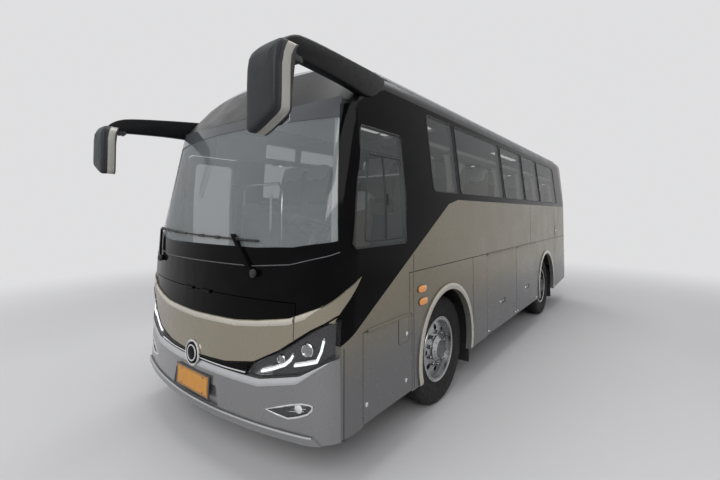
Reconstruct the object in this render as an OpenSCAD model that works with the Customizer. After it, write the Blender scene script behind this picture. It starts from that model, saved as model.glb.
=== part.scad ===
// Midi touring coach: hollow body in panels, opening doors and hatches, steered front wheels.
// Millimetres. X runs forward, Y to the left, Z up, the ground is Z = 0.

/* [Body] */
// width over the side panels
body_w = 2480; // [2300:10:2550]
// distance between the axles
wheelbase = 4000; // [3700:10:4300]
// place of the front axle along X
front_axle_x = 1830; // [1700:5:1900]
// body reach ahead of the front axle
front_overhang = 1830; // [1780:5:1900]
// body reach behind the rear axle
rear_overhang = 1850; // [1750:5:2100]
// underside of the side panels
sill_z = 386; // [360:1:420]
// belt line under the side glazing
belt_z = 1920; // [1880:5:1960]
// cantrail, where the roof panel starts
cantrail_z = 2740; // [2700:5:2800]
// crown of the roof
roof_z = 3030; // [3000:5:3120]
// how far the glazing leans in at the cantrail
lean_in = 90; // [60:5:120]
// radius of the roof shoulder
shoulder_r = 180; // [150:5:220]
// thickness of walls, doors and roof
wall = 45; // [35:1:55]
// thickness of the glass
glass_t = 8; // [5:1:12]

/* [Front end] */
// bulge of the front seen from above
front_r = 3600; // [3000:50:5000]
// bulge of the dome over the windshield
dome_r = 6000; // [4500:100:8000]
// radius of the front corners
corner_r = 270; // [220:5:320]
// lean of the lower front
lower_tilt = 2.2; // [0:0.1:4]
// lean of the windshield
screen_tilt = 12.3; // [9:0.1:16]
// lean of the dome just over the windshield
dome_tilt = 41; // [36:1:60]
// lean of the dome where it joins the roof
crest_tilt = 68; // [64:1:74]
// base of the windshield
screen_z = 1420; // [1380:5:1460]
// top of the windshield
screen_top_z = 2470; // [2420:5:2520]

/* [Wheels] */
// tyre outer radius
tyre_r = 500; // [480:1:515]
// tyre width
tyre_w = 255; // [235:1:265]
// rim flange radius
rim_r = 298; // [285:1:305]
// middle of a front wheel in from the side panel
track_inset = 223; // [210:1:240]
// kingpin in from the middle of the front wheel
kingpin_inset = 87; // [77:1:100]
// wheel arch radius
arch_r = 525; // [515:1:540]
// height of the arch centre
arch_z = 552; // [540:1:570]

/* [Openings] */
// front edge of the luggage doors behind the front axle
luggage_front = 990; // [950:5:1100]
// rear edge of the luggage doors ahead of the rear axle
luggage_rear = 680; // [660:5:800]
// top edge of the luggage doors
luggage_top = 1312; // [1280:1:1320]
// gap round a door or hatch
gap = 6; // [5:0.5:8]
// lower edge of the side windows
window_z0 = 1985; // [1960:5:2020]
// upper edge of the side windows
window_z1 = 2680; // [2640:5:2700]
// doorway rear edge ahead of the front axle
door_x0 = 655; // [645:5:680]
// doorway width
door_w = 650; // [600:5:660]
// top of the doorway
door_top = 2420; // [2350:5:2440]

/* [Inside] */
// top of the saloon floor
deck_z = 1330; // [1320:5:1400]
// top of the floor beside the driver
cab_z = 940; // [920:5:980]
// last seat row behind the rear axle
last_row = 1270; // [1200:10:1300]
// rows of seats
seat_rows = 8; // [5:1:8]

/* [Hidden] */
$fn = 64;
hw = body_w / 2;
fa = front_axle_x;
ra = fa - wheelbase;
x_front = fa + front_overhang;
x_rear = ra - rear_overhang;
rear_seam = x_rear + 260;
eps = 1;
// ends of cuts that reach right through a side, inside and outside
side_in = hw - 440;
side_out = hw + 260;
track_y = hw - track_inset;
kingpin_y = track_y - kingpin_inset;
// middles of the rear twin wheels
twin_y = [hw - 212, hw - 498];
luggage_w = (wheelbase - luggage_front - luggage_rear) / 2;
seat_pitch = (wheelbase + 50 + last_row) / (seat_rows - 1);
seat_w = hw - 370;
// middle between the axles, ahead of the front axle
mid_x = -wheelbase / 2;
// turns places measured inwards from the body's side into places off centre
function inset(p) = [for (q = p) [hw - q[0], q[1]]];
// the bulges of roof and ends are drawn in strips with these edges off centre
function strips(shift) = [for (k = [9:-1:0]) if (75 + shift + 150 * k < hw - 280) 75 + shift + 150 * k];
lean_a = atan(lean_in / (cantrail_z - belt_z));
s_y = hw - lean_in - shoulder_r * cos(lean_a);
s_z = cantrail_z - shoulder_r * sin(lean_a);
crown_d = roof_z - s_z;
crown_r = (s_y * s_y + crown_d * crown_d - shoulder_r * shoulder_r) / (2 * (crown_d - shoulder_r));
crown_c = roof_z - crown_r;
crown_a = atan2(s_z - crown_c, s_y);
// rounding of the roof's rear edge
tail_r = 300;
// middle of the front at the windshield base, its top and the start of the crest
base_x = x_front - (screen_z - 600) * tan(lower_tilt);
dome_x = base_x - (2540 - screen_z) * tan(screen_tilt);
crest_run = 400;
crest_x = dome_x - crest_run;
crest_z = 2540 + crest_run / tan(dome_tilt);
// corner points of the line between side and front panels: ahead of the front axle, height
edge_line = [[1530, 300], [1530, 952], [1500, 1420], [1335, screen_top_z], [1335, 2540], [1150, 2660],
    [950, cantrail_z]];
// the sloping line between the light lower side and the dark upper side
slope_line = [[1530, 952], [3, 1875], [-205, belt_z]];
// lower edge of the windshield and top edge of the bumper seen from ahead: in from the side, height
screen_edge = inset([[640, 1430], [340, 1455], [90, 1520], [-60, 1600]]);
bumper_edge = inset([[550, 700], [240, 770], [60, 875], [-60, 925]]);
lamp_edge = inset([[585, 796], [380, 900], [170, 1047], [55, 1114], [-60, 1135]]);
// the raised band across the front: upper and lower edge seen from ahead, and its wing on the side
band_top = concat([[0, 1045]],
    inset([[770, 1055], [570, 1077], [320, 1117], [120, 1200], [90, 1225], [-60, 1450]]));
band_low = concat([[0, 740]],
    inset([[850, 760], [585, 806], [380, 912], [170, 1058], [90, 1106], [-60, 1106]]));
band_wing = [[1617, 1200], [1492, 1300], [1360, 1375], [1521, 1183], [1560, 1122], [1575, 900]];
band_t = 10;
luggage_x = [-luggage_front, -luggage_front - luggage_w];
luggage_z0 = 400;
hatch_x0 = 700;
hatch_x1 = 1340;
hatch_top = 1000;
engine_hatch_y = hw - 440;
engine_hatch_z = [560, 1290];
vent_w = engine_hatch_y / 2 - 120;
flap_y = hw - 280;
flap_z = 1215;
lamp_in = flap_y - 400;
// pocket of the fog lamp and half of the plate's recess seen from ahead
fog_edge = inset([[493, 518], [218, 611], [140, 600], [165, 545], [310, 490]]);
plate_edge = [[320, 430], [285, 560]];
// widths of the panes from the front, the bar between two; the last pane fills up to the rear margin
pane_w = [540, 1380, 940, 880];
pane_bar = 60;
pane_rear = rear_seam - fa + 600;
function pane_front(k) = k == 0 ? 300 : pane_front(k - 1) - pane_w[k - 1] - pane_bar;
panes = [for (k = [len(pane_w):-1:0])
    [k < len(pane_w) ? pane_front(k) - pane_w[k] : pane_rear, pane_front(k)]];
// driver's window: rear edge, front edge below, front edge above; heights of its lower and upper edge
driver_pane = [780, 1430, 1300];
driver_z = [1560, 2400];
door_x1 = door_x0 + door_w;
door_pin = [door_x0 + 58, -hw + 92];
// side of the step well and edge of its step
well_y = -hw + 700;
step_y = -hw + 390;
door_arm_l = 360;
rail_y = hw - 810;
rail_z = [640, 860];
bay_x = [30 - luggage_front, luggage_rear - wheelbase - 40];
beam_x = [-wheelbase - 1500, -wheelbase - 700, -wheelbase + 560, mid_x - 160, mid_x + 1120, 560];
cross_x = [-wheelbase - 450, mid_x - 1000, mid_x + 500, 1100];
driver_y = hw - 640;
seat_x = [for (k = [0:seat_rows - 1]) 50 - k * seat_pitch];

function pol(a, r) = [r * cos(a), r * sin(a)];
function back(p) = [for (k = [len(p) - 1:-1:0]) p[k]];
function other(p) = [for (q = p) [-q[0], q[1]]];
function flip(p) = back(other(p));
function at_fa(p) = [for (q = p) [fa + q[0], q[1]]];

function arc(c, r, a0, a1, n) = [for (k = [0:n]) c + pol(a0 + (a1 - a0) * k / n, r)];

// a rectangle with round corners
module round_rect(x0, y0, x1, y1, r) {
    polygon(concat(arc([x0 + r, y0 + r], r, 180, 270, 5), arc([x1 - r, y0 + r], r, 270, 360, 5),
        arc([x1 - r, y1 - r], r, 0, 90, 5), arc([x0 + r, y1 - r], r, 90, 180, 5)));
}

// flat outlines drawn in X and Z become solids across Y, those in Y and Z become solids along X
module across(y0, y1) {
    translate([0, y1, 0]) rotate([90, 0, 0]) linear_extrude(y1 - y0) children();
}
module along(x0, x1) {
    translate([x0, 0, 0]) rotate([90, 0, 90]) linear_extrude(x1 - x0) children();
}
module box(x0, y0, z0, x1, y1, z1) {
    translate([x0, y0, z0]) cube([x1 - x0, y1 - y0, z1 - z0]);
}

// cross-section of the body, moved in by i: side, shoulder and half of the crown, then the other half
module section(i) {
    half = concat([[hw - i, 200], [hw - i, belt_z]], arc([s_y, s_z], shoulder_r - i, lean_a, crown_a, 8),
        [for (y = strips(0)) [y, crown_c + sqrt(pow(crown_r - i, 2) - y * y)]]);
    polygon(concat(half, flip(half)));
}

// outline of an end seen from above: bulge radius rf, corner radius rc, moved in by i, strips moved by sh
module plan(i, rf, rc, sh) {
    c = [sqrt(pow(rf - rc, 2) - pow(hw + eps - rc, 2)) - rf, hw + eps - rc];
    a = asin(c[1] / (rf - rc));
    half = concat([[-12000, c[1] + rc - i]], arc(c, rc - i, 90, a, 9),
        [for (y = strips(sh)) [sqrt(pow(rf - i, 2) - y * y) - rf, y]]);
    polygon(concat(half, [for (k = [len(half) - 1:-1:0]) [half[k][0], -half[k][1]]]));
}
module leaning(x, z, tilt, i, rf, sh) {
    translate([x, 0, z]) rotate([0, -tilt, 0]) translate([0, 0, -9000]) linear_extrude(18000)
        plan(i, rf, corner_r, sh);
}

// the whole body as a solid, moved in by i
module body(i) {
    intersection() {
        along(x_rear - 200, x_front + 300) section(i);
        leaning(x_front, 600, lower_tilt, i, front_r, 0);
        leaning(base_x, screen_z, screen_tilt, i, front_r, 40);
        leaning(dome_x, 2540, dome_tilt, i, dome_r, -40);
        leaning(crest_x, crest_z, crest_tilt, i, dome_r, 40);
        translate([x_rear, 0, 0]) mirror([1, 0, 0]) linear_extrude(4000) plan(i, 20000, 210, 30);
        for (t = [30, 60]) mirror([1, 0, 0])
            leaning(-x_rear - tail_r + tail_r * cos(t), roof_z - tail_r + tail_r * sin(t), t, i, 20000,
                t - 30 - 15);
    }
}
module skin(t) {
    difference() {
        body(0);
        body(t);
    }
}

// regions that split the skin
module ahead_of_edge() {
    across(-side_out, side_out) polygon(at_fa(concat(edge_line, [[2300, cantrail_z], [2300, 300]])));
}
module seen_from_ahead(low, high) {
    along(fa + 900, fa + 2400) polygon(concat(low, high));
}
module lower_side(y0, y1) {
    across(y0, y1) polygon(concat(at_fa([[1530, sill_z]]), at_fa(slope_line),
        [[rear_seam, belt_z], [rear_seam, sill_z + 54], [ra - 650, sill_z]]));
}
module upper_side(y0, y1) {
    across(y0, y1) polygon(concat(at_fa([for (k = [0:2]) slope_line[2 - k]]), at_fa([[1500, 1420],
        [1335, screen_top_z], [1335, 2540], [1150, 2660], [950, cantrail_z]]),
        [[rear_seam, cantrail_z], [rear_seam, belt_z]]));
}

// wheel arch cut and raised lip on the left side
module arch_cut(x) {
    translate([x + 30, 0, arch_z]) rotate([-90, 0, 0]) cylinder(r = arch_r, h = side_out);
}
module arch_lip(x) {
    difference() {
        translate([x + 30, hw - 6, arch_z]) rotate([-90, 0, 0]) cylinder(r = arch_r + 58, h = 18);
        arch_cut(x);
        box(x - 800, 0, -200, x + 800, side_out, sill_z);
    }
}
// hinge along X: the rod and its bracket stay with the wall, the half ring below it goes with the door
hinge_up = 2;
module hinge_rod(l) {
    translate([-l / 2, 6, hinge_up]) rotate([0, 90, 0]) cylinder(r = 6, h = l);
    box(-l / 2, -4, hinge_up, l / 2, 6, hinge_up + 6);
}
module hinge_ring(l) {
    difference() {
        translate([-l / 2, 6, hinge_up]) rotate([0, 90, 0]) cylinder(r = 11, h = l);
        translate([-l, 6, hinge_up]) rotate([0, 90, 0]) cylinder(r = 6.08, h = 2 * l);
        box(-l, -20, hinge_up, l, 30, 40);
        box(-l, -20, -gap + 2, l, 0, 20);
    }
    box(-l / 2, -4, -gap - 12, l / 2, 4, -gap + 1);
}
module luggage_hinge(k) {
    translate([fa + luggage_x[k] - luggage_w / 2, hw, luggage_top]) children();
}
module hatch_hinge() {
    translate([fa + (hatch_x0 + hatch_x1) / 2, hw, hatch_top]) children();
}
module engine_hinge() {
    for (y = [-120, 120]) translate([x_rear, y, engine_hatch_z[1]]) rotate([0, 0, 90]) children();
}
module flap_hinge() {
    for (y = [-120, 120])
        translate([x_front - (flap_z - 600) * tan(lower_tilt), y, flap_z]) rotate([0, 0, -90]) children();
}
module luggage_hole(k, g) {
    x = fa + luggage_x[k];
    t = g > 0 ? 0 : 5;
    box(x - luggage_w + g, hw - wall - t, luggage_z0 - 20 * t, x - g, hw + t, luggage_top - g);
}
module door_region(g) {
    across(-side_out, -side_in) round_rect(fa + door_x0 + g, sill_z + 20, fa + door_x1 - g, door_top - g, 60);
}

module half_wall() {
    difference() {
        union() {
            intersection() {
                skin(wall);
                lower_side(0, side_out);
            }
            arch_lip(fa);
            arch_lip(ra);
        }
        arch_cut(fa);
        arch_cut(ra);
        luggage_hole(0, 0);
        luggage_hole(1, 0);
        for (g = [[rear_seam - 10, ra + luggage_rear - 20], [fa - luggage_front + 20, fa + 745]])
            box(g[0], hw - 4, luggage_top + 4, g[1], hw + 5, luggage_top + 12);
    }
    for (k = [0, 1]) luggage_hinge(k) hinge_rod(luggage_w - 60);
}
module half_frame() {
    intersection() {
        skin(wall);
        upper_side(0, side_out);
    }
}
module pane_cut(g) {
    for (p = panes) across(side_in, side_out)
        round_rect(fa + p[0] + g, window_z0 + g, fa + p[1] - g, window_z1 - g, 40 - g);
}
module driver_cut() {
    c = 25;
    x0 = driver_pane[0];
    x1 = driver_pane[1];
    x2 = driver_pane[2];
    z0 = driver_z[0];
    z1 = driver_z[1];
    across(side_in, side_out) polygon(at_fa([[x0, z0 + c], [x0 + c, z0], [x1 - c, z0], [x1, z0 + c],
        [x2, z1 - c], [x2 - c, z1], [x0 + c, z1], [x0, z1 - c]]));
}

module chassis_frame() {
    color("dimgray") {
        for (s = [-1, 1])
            box(x_rear + 200, s * rail_y - 40, rail_z[0], x_front - 420, s * rail_y + 40, rail_z[1]);
        for (x = cross_x)
            box(fa + x - 50, -rail_y + 40, rail_z[0] + 40, fa + x + 50, rail_y - 40, rail_z[1] - 40);
        for (x = beam_x) {
            box(fa + x - 40, -hw + wall, deck_z - 100, fa + x + 40, hw - wall, deck_z - 40);
            for (s = [-1, 1])
                box(fa + x - 40, s * rail_y - 40, rail_z[1], fa + x + 40, s * rail_y + 40, deck_z - 100);
        }
        front_tow();
        rear_tow();
    }
}
// towing brackets with upright pin holes, behind the front bumper and at the back
module front_tow() {
    box(x_front - 460, -rail_y - 40, rail_z[0] + 40, x_front - 420, rail_y + 40, rail_z[0] + 180);
    difference() {
        box(x_front - 600, -90, rail_z[0] + 60, x_front - 460, 90, rail_z[0] + 100);
        translate([x_front - 540, 0, 0]) cylinder(r = 14, h = 2000);
    }
}
module rear_tow() {
    difference() {
        box(x_rear + 110, -90, rail_z[0] + 60, x_rear + 200, 90, rail_z[0] + 100);
        translate([x_rear + 150, 0, 0]) cylinder(r = 20, h = 2000);
    }
    box(x_rear + 200, -rail_y + 40, rail_z[0] + 40, x_rear + 260, rail_y - 40, rail_z[1] - 40);
}

module floor() {
    color("gray") difference() {
        union() {
            box(x_rear + 320, -hw + wall, deck_z - 40, fa + 640, hw - wall, deck_z);
            box(fa + 600, -hw + wall, cab_z, fa + 640, hw - wall, deck_z - 40);
            box(fa + 600, well_y, cab_z - 40, fa + 1400, hw - wall, cab_z);
            box(fa + 600, well_y, sill_z + 34, fa + 1400, well_y + 40, cab_z - 40);
            box(fa + 640, -hw + wall + 20, sill_z + 34, fa + 1330, well_y, sill_z + 64);
            box(fa + 640, step_y, sill_z + 64, fa + 1330, well_y, 640);
            box(fa + 600, -hw + wall, sill_z + 34, fa + 640, well_y, cab_z);
            box(fa + bay_x[1], -hw + wall + 8, 415, fa + bay_x[0], hw - wall - 8, 445);
            for (x = bay_x) box(fa + x - 20, -hw + wall, 415, fa + x + 20, hw - wall, deck_z - 40);
        }
        for (s = [-1, 1]) box(x_rear, s * rail_y - 40, rail_z[0], x_front, s * rail_y + 40, rail_z[1]);
    }
}

module side_wall_left() {
    color("tan") {
        difference() {
            half_wall();
            box(fa + hatch_x0, hw - wall - 5, 0, fa + hatch_x1, hw + 5, hatch_top);
        }
        hatch_hinge() hinge_rod(540);
    }
}
module side_wall_right() {
    color("tan") difference() {
        mirror([0, 1, 0]) half_wall();
        door_region(0);
    }
}
module window_frame_left() {
    color("black") difference() {
        half_frame();
        pane_cut(0);
        driver_cut();
    }
}
module window_frame_right() {
    color("black") difference() {
        mirror([0, 1, 0]) half_frame();
        mirror([0, 1, 0]) pane_cut(0);
        door_region(0);
    }
}
module side_glass_left() {
    color("darkslategray") intersection() {
        skin(glass_t);
        union() {
            pane_cut(0);
            driver_cut();
        }
    }
}
module side_glass_right() {
    color("darkslategray") intersection() {
        skin(glass_t);
        mirror([0, 1, 0]) pane_cut(0);
    }
}
module roof() {
    color("silver") intersection() {
        skin(wall);
        across(-side_out, side_out) polygon(concat([[rear_seam, cantrail_z]],
            at_fa([[950, cantrail_z], [1150, 2660], [1335, 2540], [1335, screen_top_z],
                [2300, screen_top_z], [2300, roof_z + 300]]),
            [[rear_seam, roof_z + 300]]));
    }
}
module windshield() {
    color("lightslategray") intersection() {
        skin(glass_t);
        ahead_of_edge();
        seen_from_ahead(concat(flip(screen_edge), screen_edge), [[side_out, screen_top_z],
            [-side_out, screen_top_z]]);
    }
}
module front_face() {
    intersection() {
        skin(wall);
        ahead_of_edge();
        seen_from_ahead(concat(flip(lamp_edge), [[-lamp_in, 700], [lamp_in, 700]], lamp_edge),
            concat(back(screen_edge), other(screen_edge)));
    }
}
module flap_region(lift, g) {
    low = [for (q = lamp_edge) if (q[0] < flap_y) [q[0], q[1] + lift]];
    side_z = lookup(flap_y, lamp_edge) + lift;
    seen_from_ahead(
        concat([[-flap_y + g, side_z]], flip(low), [[-lamp_in, 700 + lift], [lamp_in, 700 + lift]], low),
        [[flap_y - g, side_z], [flap_y - g, flap_z - g], [-flap_y + g, flap_z - g]]);
}
module front_panel() {
    color("black") difference() {
        front_face();
        box(fa + 900, -flap_y, 500, fa + 2400, flap_y, flap_z);
    }
    color("black") flap_hinge() hinge_rod(120);
}
module front_flap() {
    color("tan") intersection() {
        skin(wall);
        flap_region(gap + 2, gap);
    }
    color("tan") flap_hinge() hinge_ring(120);
}
module front_bumper() {
    color("silver") difference() {
        intersection() {
            skin(wall);
            ahead_of_edge();
            seen_from_ahead([[-side_out, 372], [side_out, 372]],
                concat(back(bumper_edge), other(bumper_edge)));
        }
        intersection() {
            skin(20);
            union() {
                seen_from_ahead(back(plate_edge), other(plate_edge));
                for (m = [0, 1]) mirror([0, m, 0]) seen_from_ahead(fog_edge, []);
            }
        }
    }
    color("silver") intersection() {
        raised(12, 5);
        seen_from_ahead([[-hw + 90, 372], [hw - 90, 372]], [[hw - 130, 415], [-hw + 130, 415]]);
    }
}
// a layer on the outside of the body: proud by t, sunk by d
module raised(t, d) {
    difference() {
        body(-t);
        body(d);
    }
}
module front_band() {
    color("tan") intersection() {
        raised(band_t, 0);
        seen_from_ahead(concat(flip(band_low), band_low), concat(back(band_top), other(band_top)));
        box(fa + 900, -flap_y + gap, 500, fa + 2400, flap_y - gap, flap_z - gap);
    }
}
module band_wings() {
    color("tan") for (m = [0, 1]) mirror([0, m, 0]) intersection() {
        raised(band_t, 0);
        seen_from_ahead(band_low, back(band_top));
        across(flap_y, side_out) polygon(at_fa(concat([[2300, 900], [2300, 1200]], band_wing)));
    }
}
module front_lamps() {
    color("white") intersection() {
        skin(wall - 5);
        ahead_of_edge();
        for (m = [0, 1]) mirror([0, m, 0])
            seen_from_ahead(concat([[lamp_in, 700]], bumper_edge), back(lamp_edge));
    }
}

// back of the body
module behind_seam() {
    box(x_rear - 100, -side_out, 560, rear_seam, side_out, roof_z + 300);
}
module rear_window(g) {
    along(x_rear - 100, x_rear + 200) round_rect(290 - hw + g, 1780 + g, hw - 290 - g, 2480 - g, 80);
}
module tail_region() {
    for (m = [0, 1]) mirror([0, m, 0]) box(x_rear - 100, hw - 380, 640, x_rear + 100, hw - 220, 1240);
}
module hatch_region(g) {
    box(x_rear - 100, -engine_hatch_y + g, engine_hatch_z[0] + g, x_rear + 150, engine_hatch_y - g,
        engine_hatch_z[1] - g);
}
module rear_panel() {
    color("tan") difference() {
        intersection() {
            skin(wall);
            behind_seam();
        }
        rear_window(0);
        tail_region();
        hatch_region(0);
    }
    color("tan") engine_hinge() hinge_rod(120);
}
module rear_glass() {
    color("darkslategray") intersection() {
        skin(glass_t);
        rear_window(0);
    }
}
module rear_bumper() {
    color("silver") intersection() {
        skin(wall + 15);
        box(x_rear - 100, -side_out, sill_z + 54, rear_seam, side_out, 560);
    }
}
module engine_hatch() {
    color("tan") difference() {
        intersection() {
            skin(wall);
            hatch_region(gap);
        }
        for (s = [-1, 1], k = [0:6]) translate([x_rear - 50, s * engine_hatch_y / 2, 700 + k * 60])
            box(0, -vent_w, 0, 250, vent_w, 22);
    }
    color("tan") engine_hinge() hinge_ring(120);
}
module tail_lamps() {
    color("red") intersection() {
        skin(wall - 5);
        tail_region();
    }
}

// straight round bar between two points
module bar(a, b, r) {
    d = b - a;
    translate(a) rotate([0, atan2(norm([d[0], d[1]]), d[2]), atan2(d[1], d[0])]) cylinder(r = r, h = norm(d));
}
// door mirror: a deep flat arm from the roof corner and a hanging head with a cut lower corner
module mirror_at(x_head, z_top) {
    foot = [fa + 1080, hw - 110];
    reach = [fa + x_head - 30, hw + 50] - foot;
    l = norm(reach);
    // edge of the arm from its rounded rear end over the top to the head and back below
    arm = [[-150, 130], [-150, 185], [l - 180, 100], [l - 70, 66], [l + 10, 0], [l + 10, -60], [l - 70, -60],
        [l - 130, -45], [400, -30], [118, -43], [-20, 10], [-110, 80]];
    // outline of the head seen from ahead
    head = [[-105, -430], [-95, -455], [-70, -465], [95, -385], [118, -365], [125, -335], [125, -20], [110, 0],
        [-10, 0], [-70, -25], [-100, -70]];
    difference() {
        union() {
            translate([foot[0], foot[1], z_top]) rotate([0, 0, atan2(reach[1], reach[0])])
                across(-34, 34) polygon(arm);
            translate([0, hw, z_top]) along(fa + x_head - 60, fa + x_head + 60) polygon(head);
        }
        body(0);
    }
}
module mirror_left() {
    color("dimgray") mirror_at(2130, 2660);
}
module mirror_right() {
    color("dimgray") mirror([0, 1, 0]) mirror_at(2050, 2610);
}

// wiper arms lie just off the glass, each on a boss on the panel below it
module wipers() {
    color("black") for (y = [-780, 640]) {
        intersection() {
            difference() {
                body(-30);
                body(-10);
            }
            seen_from_ahead([[y - 20, 1370], [y + 20, 1370]], [[y - 250, 1640], [y - 285, 1640]]);
        }
        intersection() {
            difference() {
                body(-30);
                body(0);
            }
            translate([fa + 900, y, 1385]) rotate([0, 90, 0]) cylinder(r = 26, h = 1500);
        }
    }
}

// luggage doors hang on their top edges
module luggage_door(k) {
    x = fa + luggage_x[k] - luggage_w / 2;
    color("tan") difference() {
        luggage_hole(k, gap);
        box(x - 80, hw - 18, 660, x + 80, hw + 20, 716);
    }
    color("tan") luggage_hinge(k) hinge_ring(luggage_w - 60);
}
module luggage_door_left_1() {
    luggage_door(0);
}
module luggage_door_left_2() {
    luggage_door(1);
}
module luggage_door_right_1() {
    mirror([0, 1, 0]) luggage_door(0);
}
module luggage_door_right_2() {
    mirror([0, 1, 0]) luggage_door(1);
}
module service_hatch() {
    color("tan") {
        box(fa + hatch_x0 + gap, hw - wall, sill_z + 14, fa + hatch_x1 - gap, hw, hatch_top - gap);
        hatch_hinge() hinge_ring(hatch_x1 - hatch_x0 - 100);
    }
}

// passenger door: a leaf on a turning post with two cranked arms
arm_z = [700, 1100];
module door_pane() {
    across(-side_out, -side_in) round_rect(fa + door_x0 + 90, 1180, fa + door_x1 - 90, door_top - 90, 50);
}
module door_leaf() {
    q = [fa + door_pin[0] + door_arm_l, door_pin[1]];
    color("tan") {
        difference() {
            intersection() {
                skin(wall);
                door_region(11);
            }
            door_pane();
        }
        for (z = arm_z) {
            box(q[0] - 30, -hw + wall - 5, z - 18, q[0] + 30, q[1] + 18, z - 2);
            translate([q[0], q[1], z - 4]) cylinder(r = 9, h = 44);
        }
    }
}
module door_glass() {
    color("darkslategray") intersection() {
        skin(glass_t);
        door_pane();
    }
}
module link(a, b, z) {
    d = b - a;
    translate([a[0], a[1], z]) rotate([0, 0, atan2(d[1], d[0])]) box(0, -14, 4, norm(d), 14, 36);
}
module door_arm() {
    p = [fa + door_pin[0], door_pin[1]];
    e = p + pol(45, 140);
    q = p + [door_arm_l, 0];
    color("gray") difference() {
        union() {
            translate([p[0], p[1], sill_z + 64]) cylinder(r = 18, h = 1300);
            for (z = arm_z) {
                link(p, e, z);
                link(e, q, z);
                for (c = [p, e, q]) translate([c[0], c[1], z]) cylinder(r = 22, h = 40);
            }
        }
        for (z = arm_z) translate([q[0], q[1], z - 50]) cylinder(r = 9.08, h = 200);
    }
}

// pod on the roof: rounded sides, sloping ends, two fan wells
pod_x = [fa + mid_x - 1600, fa + mid_x + 700];
pod_y = hw - 390;
module ac_unit() {
    half = concat([[pod_y, roof_z - 180], [pod_y, roof_z + 70]], arc([pod_y - 120, roof_z + 70],
        120, 0, 90, 6));
    color("white") difference() {
        intersection() {
            along(pod_x[0], pod_x[1]) difference() {
                polygon(concat(half, flip(half)));
                section(0);
            }
            across(-side_out, side_out) polygon([[pod_x[0], roof_z - 200], [pod_x[1], roof_z - 200],
                [pod_x[1], roof_z + 20], [pod_x[1] - 350, roof_z + 200], [pod_x[0] + 180, roof_z + 200],
                [pod_x[0], roof_z + 60]]);
        }
        for (s = [-1, 1])
            translate([(pod_x[0] + pod_x[1]) / 2 - 250, s * pod_y / 2, roof_z + 150])
                cylinder(r = 260, h = 200);
    }
}

module front_axle() {
    color("dimgray") {
        difference() {
            union() {
                box(fa - 50, -kingpin_y + 30, 440, fa + 50, kingpin_y - 30, 540);
                for (s = [-1, 1]) translate([fa, s * kingpin_y, 440]) cylinder(r = 50, h = 120);
            }
            for (s = [-1, 1]) translate([fa, s * kingpin_y, 300]) cylinder(r = 22.08, h = 400);
        }
        for (s = [-1, 1]) {
            box(fa - 70, s * rail_y - 35, 540, fa + 70, s * rail_y + 35, 600);
            box(fa - 460, s * rail_y - 35, 600, fa + 460, s * rail_y + 35, rail_z[0]);
        }
    }
}
module knuckle(s) {
    y = s * kingpin_y;
    color("gray") {
        translate([fa, y, 400]) cylinder(r = 22, h = 200);
        for (z = [400, 566]) translate([fa - 40, s > 0 ? y - 40 : y - 80, z]) cube([80, 120, 34]);
        translate([fa - 40, s > 0 ? y + 56 : y - 80, 400]) cube([80, 24, 200]);
        translate([fa, y, tyre_r]) rotate([-90 * s, 0, 0]) translate([0, 0, 60]) cylinder(r = 40, h = 105);
    }
}
module knuckle_left() {
    knuckle(1);
}
module knuckle_right() {
    knuckle(-1);
}
module rear_axle() {
    color("dimgray") {
        translate([ra, 680 - hw, tyre_r]) rotate([-90, 0, 0]) cylinder(r = 75, h = 2 * hw - 1360);
        translate([ra, 240 - hw, tyre_r]) rotate([-90, 0, 0]) cylinder(r = 50, h = 2 * hw - 480);
        translate([ra, 0, tyre_r]) sphere(190);
        for (s = [-1, 1]) {
            box(ra - 70, s * rail_y - 35, tyre_r, ra + 70, s * rail_y + 35, 600);
            box(ra - 460, s * rail_y - 35, 600, ra + 460, s * rail_y + 35, rail_z[0]);
        }
    }
}

// wheels turn about Y; profiles give radius and distance out from the wheel's middle
module turned(x, s) {
    translate([x, 0, tyre_r]) rotate([-90 * s, 0, 0]) rotate_extrude($fn = 96) children();
}
module barrel(y) {
    polygon([[266, y - 105], [rim_r, y - 105], [rim_r, y - 93], [rim_r - 13, y - 93], [rim_r - 13, y + 93],
        [rim_r, y + 93], [rim_r, y + 105], [266, y + 105]]);
}
module front_wheel(s) {
    y = track_y;
    color("silver") difference() {
        turned(fa, s) {
            barrel(y);
            polygon([[100, y + 66], [268, y + 36], [268, y + 52], [100, y + 84]]);
            polygon([[40.08, y + 2], [118, y + 2], [118, y + 96], [84, y + 128], [0, y + 128],
                [0, y + 86], [40.08, y + 86]]);
        }
        for (k = [0:7])
            translate([fa, 0, tyre_r]) rotate([0, k * 45, 0]) translate([196, s > 0 ? 0 : -side_out, 0])
            rotate([-90, 0, 0]) cylinder(r = 27, h = side_out);
    }
}
module rear_wheel(s) {
    color("silver") difference() {
        turned(ra, s) {
            for (y = twin_y) barrel(y);
            translate([0, twin_y[0] - 143]) polygon([[268, 40], [268, 60], [160, 18], [110, 18],
                [110, -18], [160, -18], [268, -60], [268, -40], [180, 0]]);
            translate([0, twin_y[0] - 28]) polygon([[50.08, -300], [112, -300], [112, 40], [84, 70],
                [0, 70], [0, 5], [50.08, 5]]);
        }
        for (k = [0:7])
            translate([ra, 0, tyre_r]) rotate([0, k * 45, 0]) translate([215, s > 0 ? 0 : -side_out, 0])
            rotate([-90, 0, 0]) cylinder(r = 27, h = side_out);
    }
}
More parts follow.
